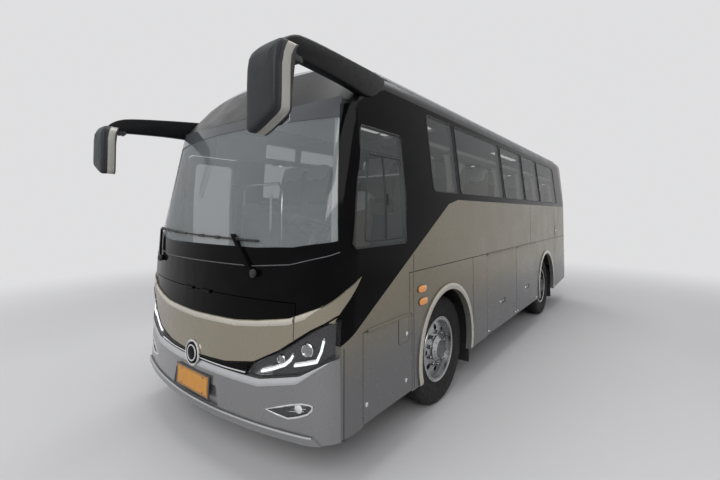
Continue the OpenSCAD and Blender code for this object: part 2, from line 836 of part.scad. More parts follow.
// tyre side from bead to tread: radius step in from the tread, share of the half width
tyre_side = [[190, 0.86], [155, 0.97], [110, 1], [70, 0.99], [38, 0.935], [18, 0.85], [6, 0.72],
    [1, 0.55], [0, 0.35]];
module tyre(y) {
    half = [for (q = tyre_side) [tyre_r - q[0], q[1] * tyre_w / 2]];
    foot = [[rim_r - 13, 93], [rim_r, 93]];
    up = concat(foot, half);
    translate([0, y]) polygon(concat(up, [for (k = [len(up) - 1:-1:0]) [up[k][0], -up[k][1]]]));
}
module wheel_front_left() {
    front_wheel(1);
}
module wheel_front_right() {
    front_wheel(-1);
}
module wheel_rear_left() {
    rear_wheel(1);
}
module wheel_rear_right() {
    rear_wheel(-1);
}
module tyre_front_left() {
    color([0.08, 0.08, 0.08]) turned(fa, 1) tyre(track_y);
}
module tyre_front_right() {
    color([0.08, 0.08, 0.08]) turned(fa, -1) tyre(track_y);
}
module tyre_rear_left() {
    color([0.08, 0.08, 0.08]) turned(ra, 1) {
        for (y = twin_y) tyre(y);
    }
}
module tyre_rear_right() {
    color([0.08, 0.08, 0.08]) turned(ra, -1) {
        for (y = twin_y) tyre(y);
    }
}

// engine between the rails: sump, crankcase and head cover, bell housing, pulley, ribs and four feet
module engine_block() {
    x0 = ra - 1520;
    x1 = ra - 560;
    half = [[140, 470], [180, 600], [230, 640], [250, 760], [250, 960], [200, 990], [180, 1120], [140, 1150]];
    color("slategray") {
        along(x0 + 110, x1 - 260) polygon(concat(half, flip(half)));
        translate([x1 - 270, 0, 760]) rotate([0, 90, 0]) cylinder(r1 = 235, r2 = 150, h = 270);
        translate([x0, 0, 720]) rotate([0, 90, 0]) cylinder(r = 105, h = 120);
        translate([x0 + 40, 0, 960]) rotate([0, 90, 0]) cylinder(r = 70, h = 80);
        for (k = [0:4]) box(x0 + 170 + 90 * k, -270, 780, x0 + 200 + 90 * k, 270, 930);
        for (x = [x0 + 200, x1 - 380], s = [0, 1])
            mirror([0, s, 0]) box(x - 45, 200, 690, x + 45, rail_y - 40, 750);
    }
}
module dashboard() {
    hub = [fa + 1120, driver_y, 1650];
    // its front keeps clear of the bulge of the front panel at the outer end
    end_y = hw - 160;
    tip = front_overhang - front_r + sqrt(front_r * front_r - end_y * end_y) - 104;
    color("gray") {
        across(well_y + 90, end_y) polygon(at_fa([[tip - 270, cab_z], [tip - 20, cab_z], [tip, 1300],
            [tip - 80, 1375], [tip - 230, 1375], [tip - 290, 1320]]));
        bar([fa + 1320, driver_y, 1330], hub, 30);
        translate(hub) rotate([0, -31.5, 0]) {
            rotate_extrude() translate([200, 0]) circle(16);
            translate([-12, -200, -8]) cube([24, 400, 16]);
            cylinder(r = 60, h = 30);
        }
    }
}
module seat_pair(x, y0, y1, z) {
    across(y0, y1) polygon([[x, z + 330], [x + 430, z + 350], [x + 440, z + 440], [x + 110, z + 440],
        [x - 20, z + 1040], [x - 100, z + 1030], [x - 60, z + 700]]);
    box(x + 120, (y0 + y1) / 2 - 200, z, x + 300, (y0 + y1) / 2 + 200, z + 345);
}
module driver_seat() {
    color("gray") seat_pair(fa + 690, driver_y - 240, driver_y + 240, cab_z);
}
module seats() {
    color("ivory") for (x = seat_x, y = [240, -240 - seat_w]) seat_pair(fa + x, y, y + seat_w, deck_z);
}
module racks() {
    color("lightgray") along(x_rear + 500, fa + 500) for (m = [0, 1]) mirror([m, 0]) intersection() {
        section(wall);
        polygon([[hw - 420, 2400], [side_out, 2440], [side_out, 2480], [hw - 420, 2440]]);
    }
}

chassis_frame();
floor();
side_wall_left();
side_wall_right();
window_frame_left();
window_frame_right();
roof();
front_panel();
front_flap();
front_band();
band_wings();
front_bumper();
windshield();
side_glass_left();
side_glass_right();
rear_panel();
rear_glass();
rear_bumper();
engine_hatch();
tail_lamps();
front_lamps();
mirror_left();
mirror_right();
wipers();
luggage_door_left_1();
luggage_door_left_2();
luggage_door_right_1();
luggage_door_right_2();
service_hatch();
door_leaf();
door_glass();
door_arm();
ac_unit();
front_axle();
rear_axle();
knuckle_left();
knuckle_right();
wheel_front_left();
wheel_front_right();
wheel_rear_left();
wheel_rear_right();
tyre_front_left();
tyre_front_right();
tyre_rear_left();
tyre_rear_right();
engine_block();
dashboard();
driver_seat();
seats();
racks();
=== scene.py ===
from math import copysign, cos, exp, hypot, pi, radians as rad, sin, sqrt, tan

import bmesh
import bpy
from mathutils import Matrix, Vector


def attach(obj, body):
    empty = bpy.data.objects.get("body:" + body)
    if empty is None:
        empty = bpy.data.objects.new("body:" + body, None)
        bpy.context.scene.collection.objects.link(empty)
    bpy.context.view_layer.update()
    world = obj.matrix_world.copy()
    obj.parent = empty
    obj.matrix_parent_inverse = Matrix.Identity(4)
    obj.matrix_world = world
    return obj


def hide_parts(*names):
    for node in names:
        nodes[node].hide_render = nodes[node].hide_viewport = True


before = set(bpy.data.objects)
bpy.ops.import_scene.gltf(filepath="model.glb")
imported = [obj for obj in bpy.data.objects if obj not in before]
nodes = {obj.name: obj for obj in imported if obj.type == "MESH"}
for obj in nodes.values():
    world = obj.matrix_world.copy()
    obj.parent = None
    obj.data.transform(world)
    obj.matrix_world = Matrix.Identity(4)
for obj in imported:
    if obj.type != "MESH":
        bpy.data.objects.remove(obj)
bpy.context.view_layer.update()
shift = Matrix.Translation

# main places of the coach in metres: axles, half width, ends, belt line, groove on the sides
FA, RA, HW = 1.83, -2.17, 1.24
XF, XR, BELT = FA + 1.83, RA - 1.85, 1.92
GROOVE = 1.32
# lean of the sides above the belt, leans of the lower front and of the windshield, its base
SIDE_LEAN, LOW_TILT, SCREEN_TILT = 0.09 / 0.82, rad(2.2), rad(12.3)
SCREEN_Z = 1.42
SCREEN_X = XF - (SCREEN_Z - 0.6) * tan(LOW_TILT)
# crown of the roof: radius and height of its middle
ROOF_R, ROOF_Z = 3.882, -0.852
# wheel middle, wheel-arch middle with its shift from the axle, saloon floor, driver's floor
WHEEL_Z, ARCH_Z, ARCH_X, DECK, CAB = 0.5, 0.552, 0.03, 1.33, 0.94
SIDES = ((1, "left"), (-1, "right"))
EX, EY, EZ = Vector((1, 0, 0)), Vector((0, 1, 0)), Vector((0, 0, 1))
FLAT_X, FLAT_Y = Vector((1, 0)), Vector((0, 1))


# materials
def feed(tree, n, inputs):
    """Each input gets a value, a colour or the output of another node."""
    for key, value in inputs.items():
        if isinstance(value, bpy.types.NodeSocket):
            tree.links.new(value, n.inputs[key])
        else:
            n.inputs[key].default_value = (*value, 1) if isinstance(value, tuple) else value


def node(tree, kind, inputs, **settings):
    """A shader node; gives its outputs."""
    n = tree.nodes.new("ShaderNode" + kind)
    for key, value in settings.items():
        setattr(n, key, value)
    feed(tree, n, inputs)
    return n.outputs


def material(name, col, col2, scale, rough, metal=0.0, coat=0.0, spec=0.5, alpha=1.0,
             bump=0.0, grain=300.0, fade=None, front=None, dust=0.0, glow=0.0):
    """Cloudy colour and roughness, with a fade by height, a dark front, dust, grain or glow."""
    m = bpy.data.materials.new(name)
    m.use_nodes = True
    tree = m.node_tree
    place = node(tree, "TexCoord", {})["Object"]
    split = node(tree, "SeparateXYZ", {0: place})
    height = split["Z"]

    def noise(size, detail=4.0):
        return node(tree, "TexNoise", {"Scale": size, "Detail": detail, "Vector": place})["Fac"]

    def blend(factor, a, b):
        return node(tree, "Mix", {0: factor, 6: a, 7: b}, data_type="RGBA")[2]

    def ramp(value, a, b, c=0.0, d=1.0):
        limits = {"Value": value, "From Min": a, "From Max": b, "To Min": c, "To Max": d}
        return node(tree, "MapRange", limits, interpolation_type="SMOOTHSTEP")["Result"]

    def times(a, b):
        return node(tree, "Math", {0: a, 1: b}, operation="MULTIPLY")[0]

    colour = blend(ramp(noise(scale), 0.3, 0.7), col, col2)
    if fade:
        low, high, under = fade
        colour = blend(ramp(height, low, high), under, colour)
    if front:
        start, top, under = front
        ahead = ramp(split["X"], start, start + 0.01)
        colour = blend(times(ahead, ramp(height, top, top + 0.01, 1.0, 0.0)), colour, under)
    if dust:
        cover = times(ramp(height, 0.25, 0.95, dust, 0.0), ramp(noise(3.5), 0.25, 0.75))
        colour = blend(cover, colour, (0.20, 0.18, 0.15))
    gloss = ramp(noise(scale * 2.3), 0.3, 0.7, *rough)
    inputs = {"Base Color": colour, "Roughness": gloss, "Metallic": metal, "Coat Weight": coat,
              "Coat Roughness": 0.03, "Specular IOR Level": spec, "Alpha": alpha}
    if bump:
        relief = {"Strength": bump, "Distance": 0.002, "Height": noise(grain, 2.0)}
        inputs["Normal"] = node(tree, "Bump", relief)[0]
    if glow:
        inputs["Emission Color"], inputs["Emission Strength"] = colour, glow
    feed(tree, tree.nodes["Principled BSDF"], inputs)
    return m


M = {}


def look(key, name, col, col2, scale, rough, **more):
    """A material under a short key: two colours, size of the clouds, range of roughness."""
    M[key] = material(name, col, col2, scale, rough, **more)


GOLD, SILVER, DARK = (0.245, 0.216, 0.160), (0.165, 0.166, 0.169), (0.012, 0.0125, 0.0135)
look("paint", "champagne_paint", GOLD, (0.228, 0.201, 0.149), 1.5, (0.26, 0.33), metal=0.4, coat=0.08,
     spec=0.25, fade=(0.62, 1.20, SILVER), dust=0.10)
look("band", "band_paint", (0.285, 0.257, 0.195), (0.267, 0.240, 0.182), 1.5, (0.24, 0.31), metal=0.5,
     coat=0.2, spec=0.3)
# a lighter copy of the band paint: painted highlight for the band's top edge and the lips of the wheel arches
look("edge", "edge_painted_highlight", (0.55, 0.52, 0.44), (0.51, 0.48, 0.41), 2.0, (0.24, 0.31), metal=0.4,
     coat=0.4)
look("silver", "silver_paint", (0.225, 0.226, 0.229), (0.205, 0.206, 0.209), 1.5, (0.24, 0.29), metal=0.5,
     coat=0.4, dust=0.04)
# a lighter copy of the silver paint: painted highlight for the bumper's top and lower edges and the roof rail
look("ledge", "ledge_painted_highlight", (0.52, 0.525, 0.54), (0.48, 0.485, 0.50), 2.0, (0.20, 0.27), metal=0.6, coat=0.4)
look("roof", "roof_paint", (0.42, 0.425, 0.44), (0.39, 0.395, 0.41), 2.0, (0.26, 0.34), metal=0.4, spec=0.2,
     fade=(2.845, 2.855, DARK), front=(FA + 0.80, 2.95, DARK))
look("black", "black_gloss", (0.0025, 0.0025, 0.003), (0.004, 0.004, 0.0045), 5.0, (0.06, 0.10), spec=0.05,
     dust=0.01)
look("header", "header_glass", (0.085, 0.092, 0.102), (0.075, 0.081, 0.090), 1.0, (0.04, 0.08))
look("tint", "tinted_glass", (0.040, 0.054, 0.054), (0.046, 0.060, 0.060), 1.2, (0.02, 0.05), spec=0.8,
     alpha=0.40)
# clear glass with a pale grey base: painted reflection that hazes the windshield
look("screen", "windshield_glass_painted_reflection", (0.27, 0.30, 0.315), (0.29, 0.32, 0.335), 1.0, (0.01, 0.03), spec=0.8,
     alpha=0.36)
look("lens", "lamp_lens", (0.03, 0.032, 0.034), (0.04, 0.042, 0.044), 6.0, (0.02, 0.06), coat=1.0, spec=0.9,
     alpha=0.16)
look("red", "red_lens", (0.42, 0.010, 0.010), (0.34, 0.008, 0.008), 40.0, (0.08, 0.16), coat=1.0, bump=0.25,
     grain=180, glow=0.05)
look("amber", "amber_lens", (0.85, 0.30, 0.025), (0.75, 0.25, 0.02), 60.0, (0.08, 0.16), coat=1.0, bump=0.25,
     grain=250, glow=0.12)
look("led", "led_strip", (0.95, 0.97, 1.0), (0.9, 0.93, 0.97), 30.0, (0.15, 0.25), glow=0.8)
look("chrome", "chrome", (0.80, 0.80, 0.81), (0.72, 0.72, 0.73), 14.0, (0.05, 0.12), metal=1.0, bump=0.02)
look("bowl", "reflector", (0.86, 0.87, 0.88), (0.76, 0.77, 0.78), 30.0, (0.10, 0.20), metal=1.0, bump=0.05,
     grain=200)
look("housing", "lamp_housing", (0.020, 0.020, 0.022), (0.035, 0.035, 0.037), 50.0, (0.25, 0.40), coat=0.4,
     bump=0.1, grain=400)
look("rubber", "tyre_rubber", (0.010, 0.010, 0.0105), (0.016, 0.0155, 0.015), 14.0, (0.72, 0.88), spec=0.3,
     bump=0.35, grain=700, dust=0.08)
# dark rubber of the seals, also laid in the side groove as painted shade
look("seal", "seal_rubber_and_groove_shade", (0.012, 0.012, 0.013), (0.02, 0.02, 0.021), 30.0, (0.45, 0.65), bump=0.1,
     grain=800)
look("alloy", "alloy", (0.43, 0.435, 0.44), (0.39, 0.395, 0.40), 9.0, (0.22, 0.30), metal=1.0, dust=0.06)
look("nut", "steel_nut", (0.30, 0.30, 0.31), (0.24, 0.24, 0.25), 60.0, (0.18, 0.30), metal=1.0, bump=0.05,
     grain=600)
look("shell", "mirror_shell", (0.024, 0.027, 0.030), (0.028, 0.031, 0.034), 9.0, (0.38, 0.48), spec=0.2,
     bump=0.05, grain=1400)
look("cream", "cream_trim", (0.42, 0.405, 0.365), (0.38, 0.366, 0.33), 9.0, (0.30, 0.38), metal=0.2, coat=0.3)
look("arm", "arm_plastic", (0.004, 0.0042, 0.005), (0.006, 0.0062, 0.007), 9.0, (0.36, 0.46), spec=0.12,
     bump=0.05, grain=1400)
look("mirror", "mirror_glass", (0.82, 0.84, 0.86), (0.78, 0.80, 0.83), 4.0, (0.01, 0.03), metal=1.0)
look("plate", "plate_yellow", (0.62, 0.27, 0.030), (0.57, 0.24, 0.026), 18.0, (0.30, 0.45), bump=0.08,
     grain=500, dust=0.05)
look("frame", "chassis_paint", (0.022, 0.022, 0.023), (0.045, 0.040, 0.036), 7.0, (0.45, 0.7), bump=0.3,
     grain=160, dust=0.3)
look("iron", "engine_metal", (0.16, 0.165, 0.17), (0.10, 0.10, 0.10), 9.0, (0.45, 0.65), metal=0.7, bump=0.4,
     grain=90, dust=0.25)
look("vinyl", "floor_vinyl", (0.17, 0.17, 0.175), (0.12, 0.12, 0.125), 60.0, (0.5, 0.65), bump=0.2, grain=500)
look("lining", "lining", (0.66, 0.655, 0.63), (0.61, 0.605, 0.58), 12.0, (0.6, 0.75), bump=0.15, grain=600)
look("dash", "dash_plastic", (0.085, 0.085, 0.09), (0.11, 0.11, 0.115), 14.0, (0.48, 0.6), bump=0.3,
     grain=900)
look("cloth", "seat_cloth", (0.40, 0.335, 0.24), (0.30, 0.25, 0.18), 90.0, (0.8, 0.92), bump=0.6, grain=900)
look("cover", "head_cover", (0.86, 0.86, 0.84), (0.79, 0.79, 0.77), 40.0, (0.75, 0.9), bump=0.5, grain=700)
look("curtain", "curtain_cloth", (0.70, 0.67, 0.58), (0.60, 0.57, 0.49), 20.0, (0.75, 0.9), bump=0.4,
     grain=800)
look("pod", "pod_shell", (0.50, 0.50, 0.49), (0.46, 0.46, 0.45), 6.0, (0.36, 0.46), coat=0.1, spec=0.3,
     bump=0.05, grain=500)
look("mesh", "dark_grille", (0.015, 0.015, 0.016), (0.03, 0.03, 0.031), 80.0, (0.5, 0.7), bump=0.6, grain=240)
look("lit", "saloon_lamp", (0.95, 0.94, 0.90), (0.9, 0.89, 0.85), 10.0, (0.4, 0.5), glow=0.9)

# solids by material
CAD = {
    "paint": "side_wall_left side_wall_right rear_panel engine_hatch luggage_door_left_1 luggage_door_left_2 "
             "luggage_door_right_1 luggage_door_right_2 service_hatch door_leaf",
    "band": "front_band band_wings",
    "silver": "front_bumper rear_bumper",
    "roof": "roof",
    "black": "window_frame_left window_frame_right front_panel front_flap wipers",
    "tint": "side_glass_left side_glass_right rear_glass door_glass",
    "screen": "windshield",
    "lens": "front_lamps",
    "red": "tail_lamps",
    "shell": "mirror_left mirror_right",
    "frame": "chassis_frame front_axle rear_axle knuckle_left knuckle_right door_arm",
    "vinyl": "floor",
    "alloy": "wheel_front_left wheel_front_right wheel_rear_left wheel_rear_right",
    "rubber": "tyre_front_left tyre_front_right tyre_rear_left tyre_rear_right",
    "iron": "engine_block",
    "dash": "dashboard",
    "cloth": "driver_seat seats",
    "lining": "racks",
    "pod": "ac_unit",
}


def dress(o, key):
    """Material of a solid, and soft shading over the strips of its curved panels."""
    o.data.materials.clear()
    o.data.materials.append(M[key])
    if "custom_normal" in o.data.attributes:
        o.data.attributes.remove(o.data.attributes["custom_normal"])
    o.data.polygons.foreach_set("use_smooth", [True] * len(o.data.polygons))
    o.modifiers.new("weld", "WELD").merge_threshold = 0.0001
    o.modifiers.new("split", "EDGE_SPLIT").split_angle = rad(27)
    o.modifiers.new("weighted", "WEIGHTED_NORMAL").weight = 80


for key, names in CAD.items():
    for name in names.split():
        dress(nodes[name], key)


def put(name, data):
    """A new object in the scene."""
    o = bpy.data.objects.new(name, data)
    bpy.context.scene.collection.objects.link(o)
    return o


# shapes: lists of points and faces, joined into one piece at the end
class Shape:
    """Points, faces and the material of each face."""

    def __init__(self):
        self.v, self.f, self.m = [], [], []

    def add(self, part, mat=0, at=None):
        points, faces = part
        k = len(self.v)
        self.v += [tuple(at @ Vector(p)) if at else tuple(p) for p in points]
        self.f += [tuple(i + k for i in q) for q in faces]
        self.m += [mat] * len(faces)

    def piece(self, name, mats, body="body", slot=None, angle=30.0):
        me = bpy.data.meshes.new(name)
        me.from_pydata(self.v, [], self.f)
        for key in mats.split():
            me.materials.append(M[key])
        me.polygons.foreach_set("material_index", self.m)
        work = bmesh.new()
        work.from_mesh(me)
        bmesh.ops.recalc_face_normals(work, faces=work.faces)
        work.to_mesh(me)
        work.free()
        me.polygons.foreach_set("use_smooth", [True] * len(me.polygons))
        me.set_sharp_from_angle(angle=rad(angle))
        o = put(name, me)
        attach(o, body)
        return o


def steps(a, b, n):
    """Equal steps from a to b, both ends too."""
    return [a + (b - a) * k / n for k in range(n + 1)]


def turns(n):
    """Equal angles of one turn."""
    return [2 * pi * k / n for k in range(n)]


def block(lo, hi, r=0.004):
    """A box with bevelled edges."""
    mid = [(a + b) / 2 for a, b in zip(lo, hi)]
    half = [abs(b - a) / 2 for a, b in zip(lo, hi)]
    r = min(r, 0.45 * min(half))
    points, at = [], {}
    signs = [(x, y, z) for x in (-1, 1) for y in (-1, 1) for z in (-1, 1)]
    for s in signs:
        for axis in range(3):
            at[s, axis] = len(points)
            points.append(tuple(mid[i] + s[i] * (half[i] - (0 if i == axis else r)) for i in range(3)))
    faces = [tuple(at[s, k] for k in range(3)) for s in signs]
    for axis in range(3):
        u, w = [i for i in range(3) if i != axis]
        for side in (-1, 1):
            ring = []
            for a, b in ((-1, -1), (1, -1), (1, 1), (-1, 1)):
                s = [0, 0, 0]
                s[axis], s[u], s[w] = side, a, b
                ring.append(at[tuple(s), axis])
            faces.append(tuple(ring))
        for a in (-1, 1):
            for b in (-1, 1):
                s0, s1 = [0, 0, 0], [0, 0, 0]
                s0[axis], s1[axis] = -1, 1
                s0[u] = s1[u] = a
                s0[w] = s1[w] = b
                s0, s1 = tuple(s0), tuple(s1)
                faces.append((at[s0, u], at[s1, u], at[s1, w], at[s0, w]))
    return points, faces


def rings(loops, closed=True, caps=True):
    """A skin over loops of equal length."""
    n = len(loops[0])
    points = [tuple(p) for loop in loops for p in loop]
    faces = []
    for i in range(len(loops) - 1):
        for j in range(n if closed else n - 1):
            a, b = i * n + j, i * n + (j + 1) % n
            faces.append((a, b, b + n, a + n))
    if caps and closed:
        faces += [tuple(range(n)), tuple(range(len(points) - n, len(points)))]
    return points, faces


def tube(path, r, n=10, flat=1.0, loop=False):
    """A round or oval bar along a path."""
    pts = [Vector(p) for p in path]
    loops, normal = [], None
    for i, p in enumerate(pts):
        ahead = pts[(i + 1) % len(pts)] if loop or i + 1 < len(pts) else p
        behind = pts[i - 1] if loop or i else p
        t = (ahead - behind).normalized()
        if normal is None:
            normal = t.cross(EZ if abs(t.z) < 0.9 else EX).normalized()
        normal = (normal - t * normal.dot(t)).normalized()
        side = t.cross(normal)
        loops.append([p + r * (cos(a) * normal + flat * sin(a) * side) for a in turns(n)])
    if loop:
        loops.append(loops[0])
    return rings(loops, caps=not loop)


def lathe(profile, n=40, ring=False):
    """A turned part about its own Z: rows of radius and height; a ring has no end faces."""
    loops = []
    for r, z in profile:
        r = max(r, 1e-4)
        loops.append([(r * cos(a), r * sin(a), z) for a in turns(n)])
    if ring:
        return rings(loops + [loops[0]], caps=False)
    return rings(loops)


def stud(r, h, n=20):
    """A low round head with a bevelled edge."""
    return lathe([(0, 0), (r, 0), (r - 0.001, h - 0.001), (0, h)], n)


def facing(x, y, z, towards):
    """A matrix that turns Z of a part to a direction."""
    return shift((x, y, z)) @ Vector(towards).to_track_quat("Z", "Y").to_matrix().to_4x4()


def slab(fn, us, vs, o0, o1):
    """A curved panel between two offsets of a surface fn(u, v, offset)."""
    nu, nv = len(us), len(vs)
    points = [tuple(fn(u, v, o)) for o in (o0, o1) for u in us for v in vs]
    faces, k = [], nu * nv
    for i in range(nu - 1):
        for j in range(nv - 1):
            a = i * nv + j
            faces += [(a, a + 1, a + nv + 1, a + nv), (k + a, k + a + nv, k + a + nv + 1, k + a + 1)]
    rim = list(range(nv)) + [i * nv + nv - 1 for i in range(1, nu)]
    rim += [(nu - 1) * nv + j for j in range(nv - 2, -1, -1)] + [i * nv for i in range(nu - 2, 0, -1)]
    for a, b in zip(rim, rim[1:] + rim[:1]):
        faces.append((a, b, b + k, a + k))
    return points, faces


def table(rows):
    """Straight lines between rows of place off the middle and value."""
    def at(x):
        x = abs(x)
        for (a, p), (b, q) in zip(rows, rows[1:]):
            if x <= b:
                return p + (q - p) * (x - a) / (b - a)
        return rows[-1][1]
    return at


def rounded(x0, z0, x1, z1, r, n=5):
    """A rectangle with round corners."""
    out = []
    left, right, low, high = x0 + r, x1 - r, z0 + r, z1 - r
    for cx, cz, a0 in ((right, high, 0), (left, high, 90), (left, low, 180), (right, low, 270)):
        for a in steps(rad(a0), rad(a0 + 90), n):
            out.append((cx + r * cos(a), cz + r * sin(a)))
    return out


def oval(c, a, b, u, w, p=3.2, n=20):
    """A squarish oval with half sizes a and b along u and w."""
    out = []
    for t in turns(n):
        x, y = cos(t), sin(t)
        across = u * a * copysign(abs(x) ** (2 / p), x)
        out.append(c + across + w * b * copysign(abs(y) ** (2 / p), y))
    return out


def stepped(loop, rows):
    """A flat outline about its middle in rows of scale and height."""
    return rings([[(x * f, z * f, d) for x, z in loop] for f, d in rows])


def soften(loop, rounds=2):
    """Corner cutting of a closed outline."""
    for _ in range(rounds):
        out = []
        for p, q in zip(loop, loop[1:] + loop[:1]):
            for f in (0.75, 0.25):
                out.append(tuple(f * a + (1 - f) * b for a, b in zip(p, q)))
        loop = out
    return loop


def shrink(loop, d):
    """A closed outline moved inwards by d."""
    area = sum(p[0] * q[1] - q[0] * p[1] for p, q in zip(loop, loop[1:] + loop[:1]))
    turn = copysign(d, area)
    out = []
    for k, p in enumerate(loop):
        q0, q1 = loop[k - 1], loop[(k + 1) % len(loop)]
        dx, dy = q1[0] - q0[0], q1[1] - q0[1]
        n = hypot(dx, dy)
        out.append((p[0] - dy / n * turn, p[1] + dx / n * turn))
    return out


# surfaces of the coach: front and back by place across and height, side by place along and height
def bulge(y, out, rf=3.6, rc=0.27):
    """Depth of a bowed end with radius rf and corners of radius rc, moved out."""
    c = HW + 0.001 - rc
    edge = c + (rc + out) * c / (rf - rc)
    if abs(y) <= edge:
        return sqrt((rf + out) ** 2 - y * y) - rf
    corner = max((rc + out) ** 2 - (abs(y) - c) ** 2, 0)
    return sqrt((rf - rc) ** 2 - c * c) - rf + sqrt(corner)


def on_front(y, z, out=0.0):
    b = bulge(y, out)
    low = XF + b / cos(LOW_TILT) - (z - 0.6) * tan(LOW_TILT)
    high = SCREEN_X + b / cos(SCREEN_TILT) - (z - SCREEN_Z) * tan(SCREEN_TILT)
    return Vector((min(low, high), y, z))


def on_back(y, z, out=0.0):
    return Vector((XR - bulge(y, out, 20.0, 0.21), y, z))


def on_side(sy):
    def at(x, z, out=0.0):
        return Vector((x, sy * (HW + out - max(0, z - BELT) * SIDE_LEAN), z))
    return at


def on_wall(sy, x, z):
    """A matrix from the plane of an outline to a place on the side."""
    turn = Matrix(((1, 0, 0, 0), (0, 0, sy, 0), (0, 1, 0, 0), (0, 0, 0, 1)))
    return shift(on_side(sy)(x, z)) @ turn


def on_arch(x, r, a, y):
    """A point round the wheel arch of an axle."""
    return x + ARCH_X + r * cos(a), y, ARCH_Z + r * sin(a)


def roof_at(y, out=0.0):
    return ROOF_Z + sqrt((ROOF_R + out) ** 2 - y * y)


def patch(ys, low, high, o0, o1, nv=4):
    """A panel on the front between a lower and an upper edge."""
    def at(y, v, out):
        return on_front(y, low(y) + (high(y) - low(y)) * v, out)
    return slab(at, ys, steps(0, 1, nv), o0, o1)


def bead(y0, y1, n, height, out, r, sides=8):
    """A bar across the front at a height given by the place across."""
    return tube([on_front(y, height(y), out) for y in steps(y0, y1, n)], r, sides)


def gasket(at, loop, out, r):
    """A closed bar on the side, measured along from the front axle."""
    return tube([at(FA + x, z, out) for x, z in loop], r, 6, loop=True)


# edges of the front panels by place off the middle, and the inner edge of the dark pillars
band_low = table([(0, 0.740), (0.39, 0.760), (0.655, 0.806), (0.86, 0.912), (1.07, 1.058), (1.15, 1.106),
                  (1.22, 1.165)])
band_top = table([(0, 1.045), (0.47, 1.055), (0.67, 1.077), (0.92, 1.117), (1.12, 1.200), (1.22, 1.30)])
bumper_top = table([(0, 0.700), (0.69, 0.700), (1.0, 0.770), (1.18, 0.875), (1.30, 0.925)])
lamp_top = table([(0, 0.70), (0.56, 0.70), (0.655, 0.796), (0.86, 0.900), (1.07, 1.047), (1.185, 1.114),
                  (1.3, 1.135)])
screen_low = table([(0, 1.430), (0.6, 1.430), (0.9, 1.455), (1.15, 1.520), (1.3, 1.6)])


def under_band(y):
    return band_low(y) - 0.005


def pillar(z):
    return 1.165 - (z - 1.60) * 0.106


# front: dark strip and bright bead under the band, badge disc
def front_strip():
    s = Shape()
    s.add(patch(steps(-0.60, 0.60, 40), lambda y: 0.711, lambda y: band_low(y) - 0.004, 0.0, 0.004))
    s.add(bead(-0.95, 0.95, 80, under_band, 0.006, 0.0075))
    s.add(bead(-0.59, 0.59, 40, lambda y: 0.719 + 0.02 * max(0, abs(y) - 0.4), 0.006, 0.0065), 1)
    s.piece("front_strip", "black chrome", "front_flap_body")


def badge_disc():
    s = Shape()
    at = facing(*on_front(0, 0.738, 0.010), (1, 0, 0.04))
    s.add(lathe([(0, 0.0), (0.094, 0.0), (0.096, 0.004), (0.095, 0.012), (0.088, 0.016), (0.083, 0.013),
                 (0.082, 0.009), (0.0, 0.009)], 56), 0, at)
    s.add(lathe([(0, 0.0092), (0.080, 0.0092), (0.078, 0.0115), (0.04, 0.0155), (0, 0.017)], 48), 1, at)
    ring = [(0.050, 0.012), (0.062, 0.012), (0.061, 0.0175), (0.056, 0.0195), (0.051, 0.0175)]
    s.add(lathe(ring, 48, True), 0, at)
    s.piece("badge_disc", "chrome black", "front_flap_body")


def band_bead(sy, side):
    """The dark bead under a wing of the band."""
    s = Shape()
    s.add(bead(sy * 0.965, sy * 1.215, 26, under_band, 0.006, 0.0075))
    s.piece("band_bead_" + side, "black")


# headlamps: dark bowl, light guides, lens units and fins behind the clear cover
GUIDES = ([(0.708, 0.747), (0.80, 0.778), (0.887, 0.816), (0.925, 0.850), (0.947, 0.889)],
          [(0.957, 0.823), (1.03, 0.842), (1.102, 0.864), (1.125, 0.93), (1.138, 1.007)])


def lamp_inside(sy, side):
    s = Shape()
    s.add(patch(steps(sy * 0.585, sy * 1.215, 40), lambda y: bumper_top(y) + 0.004,
                lambda y: lamp_top(y) - 0.004, -0.0395, -0.034, 6))
    for path in GUIDES:
        run = []
        for (y0, z0), (y1, z1) in zip(path, path[1:]):
            for t in steps(0, 1, 6)[:-1]:
                run.append(on_front(sy * (y0 + (y1 - y0) * t), z0 + (z1 - z0) * t, -0.010))
        s.add(tube(run, 0.0085, 8), 1)
        s.add(tube([p + Vector((-0.006, 0, 0.016)) for p in run], 0.006, 8), 2)
    for y, z, r in ((0.845, 0.842, 0.026), (1.03, 0.925, 0.036)):
        m = facing(*on_front(sy * y, z, -0.030), (1, sy * 0.25, 0))
        s.add(lathe([(0, 0), (r * 1.25, 0), (r * 1.25, 0.010), (r * 1.1, 0.014), (r, 0.010), (r, 0.004),
                     (0, 0.004)], 32), 2, m)
        s.add(lathe([(r * 0.98, 0.003), (r * 0.9, 0.010), (r * 0.6, 0.017), (0, 0.021)], 32), 3, m)
    for k in range(5):
        def fin(y):
            return bumper_top(y) + 0.016 + 0.007 * k + 0.05 * (abs(y) - 0.62) * k
        s.add(bead(sy * (0.64 + 0.012 * k), sy * 0.78, 10, fin, -0.028, 0.0022, 6), 2)
    s.piece("lamp_inside_" + side, "housing led chrome tint")


# blank plate, its carrier and bolts
def number_plate():
    s = Shape()
    flat = shift(on_front(0, 0.534, 0.005)) @ Matrix.Rotation(-LOW_TILT, 4, "Y")
    s.add(block((-0.004, -0.236, -0.082), (0.005, 0.236, 0.082), 0.003), 0, flat)
    s.add(block((0.004, -0.220, -0.070), (0.007, 0.220, 0.070), 0.0012), 1, flat)
    for y0, z0, y1, z1 in ((-0.214, 0.061, 0.214, 0.064), (-0.214, -0.064, 0.214, -0.061),
                           (-0.214, -0.061, -0.211, 0.061), (0.211, -0.061, 0.214, 0.061)):
        s.add(block((0.0065, y0, z0), (0.0082, y1, z1), 0.0005), 0, flat)
    for y in (-0.15, 0.15):
        for z in (-0.052, 0.052):
            s.add(stud(0.008, 0.005, 16), 2, flat @ facing(0.006, y, z, EX))
    s.piece("number_plate", "housing plate nut")


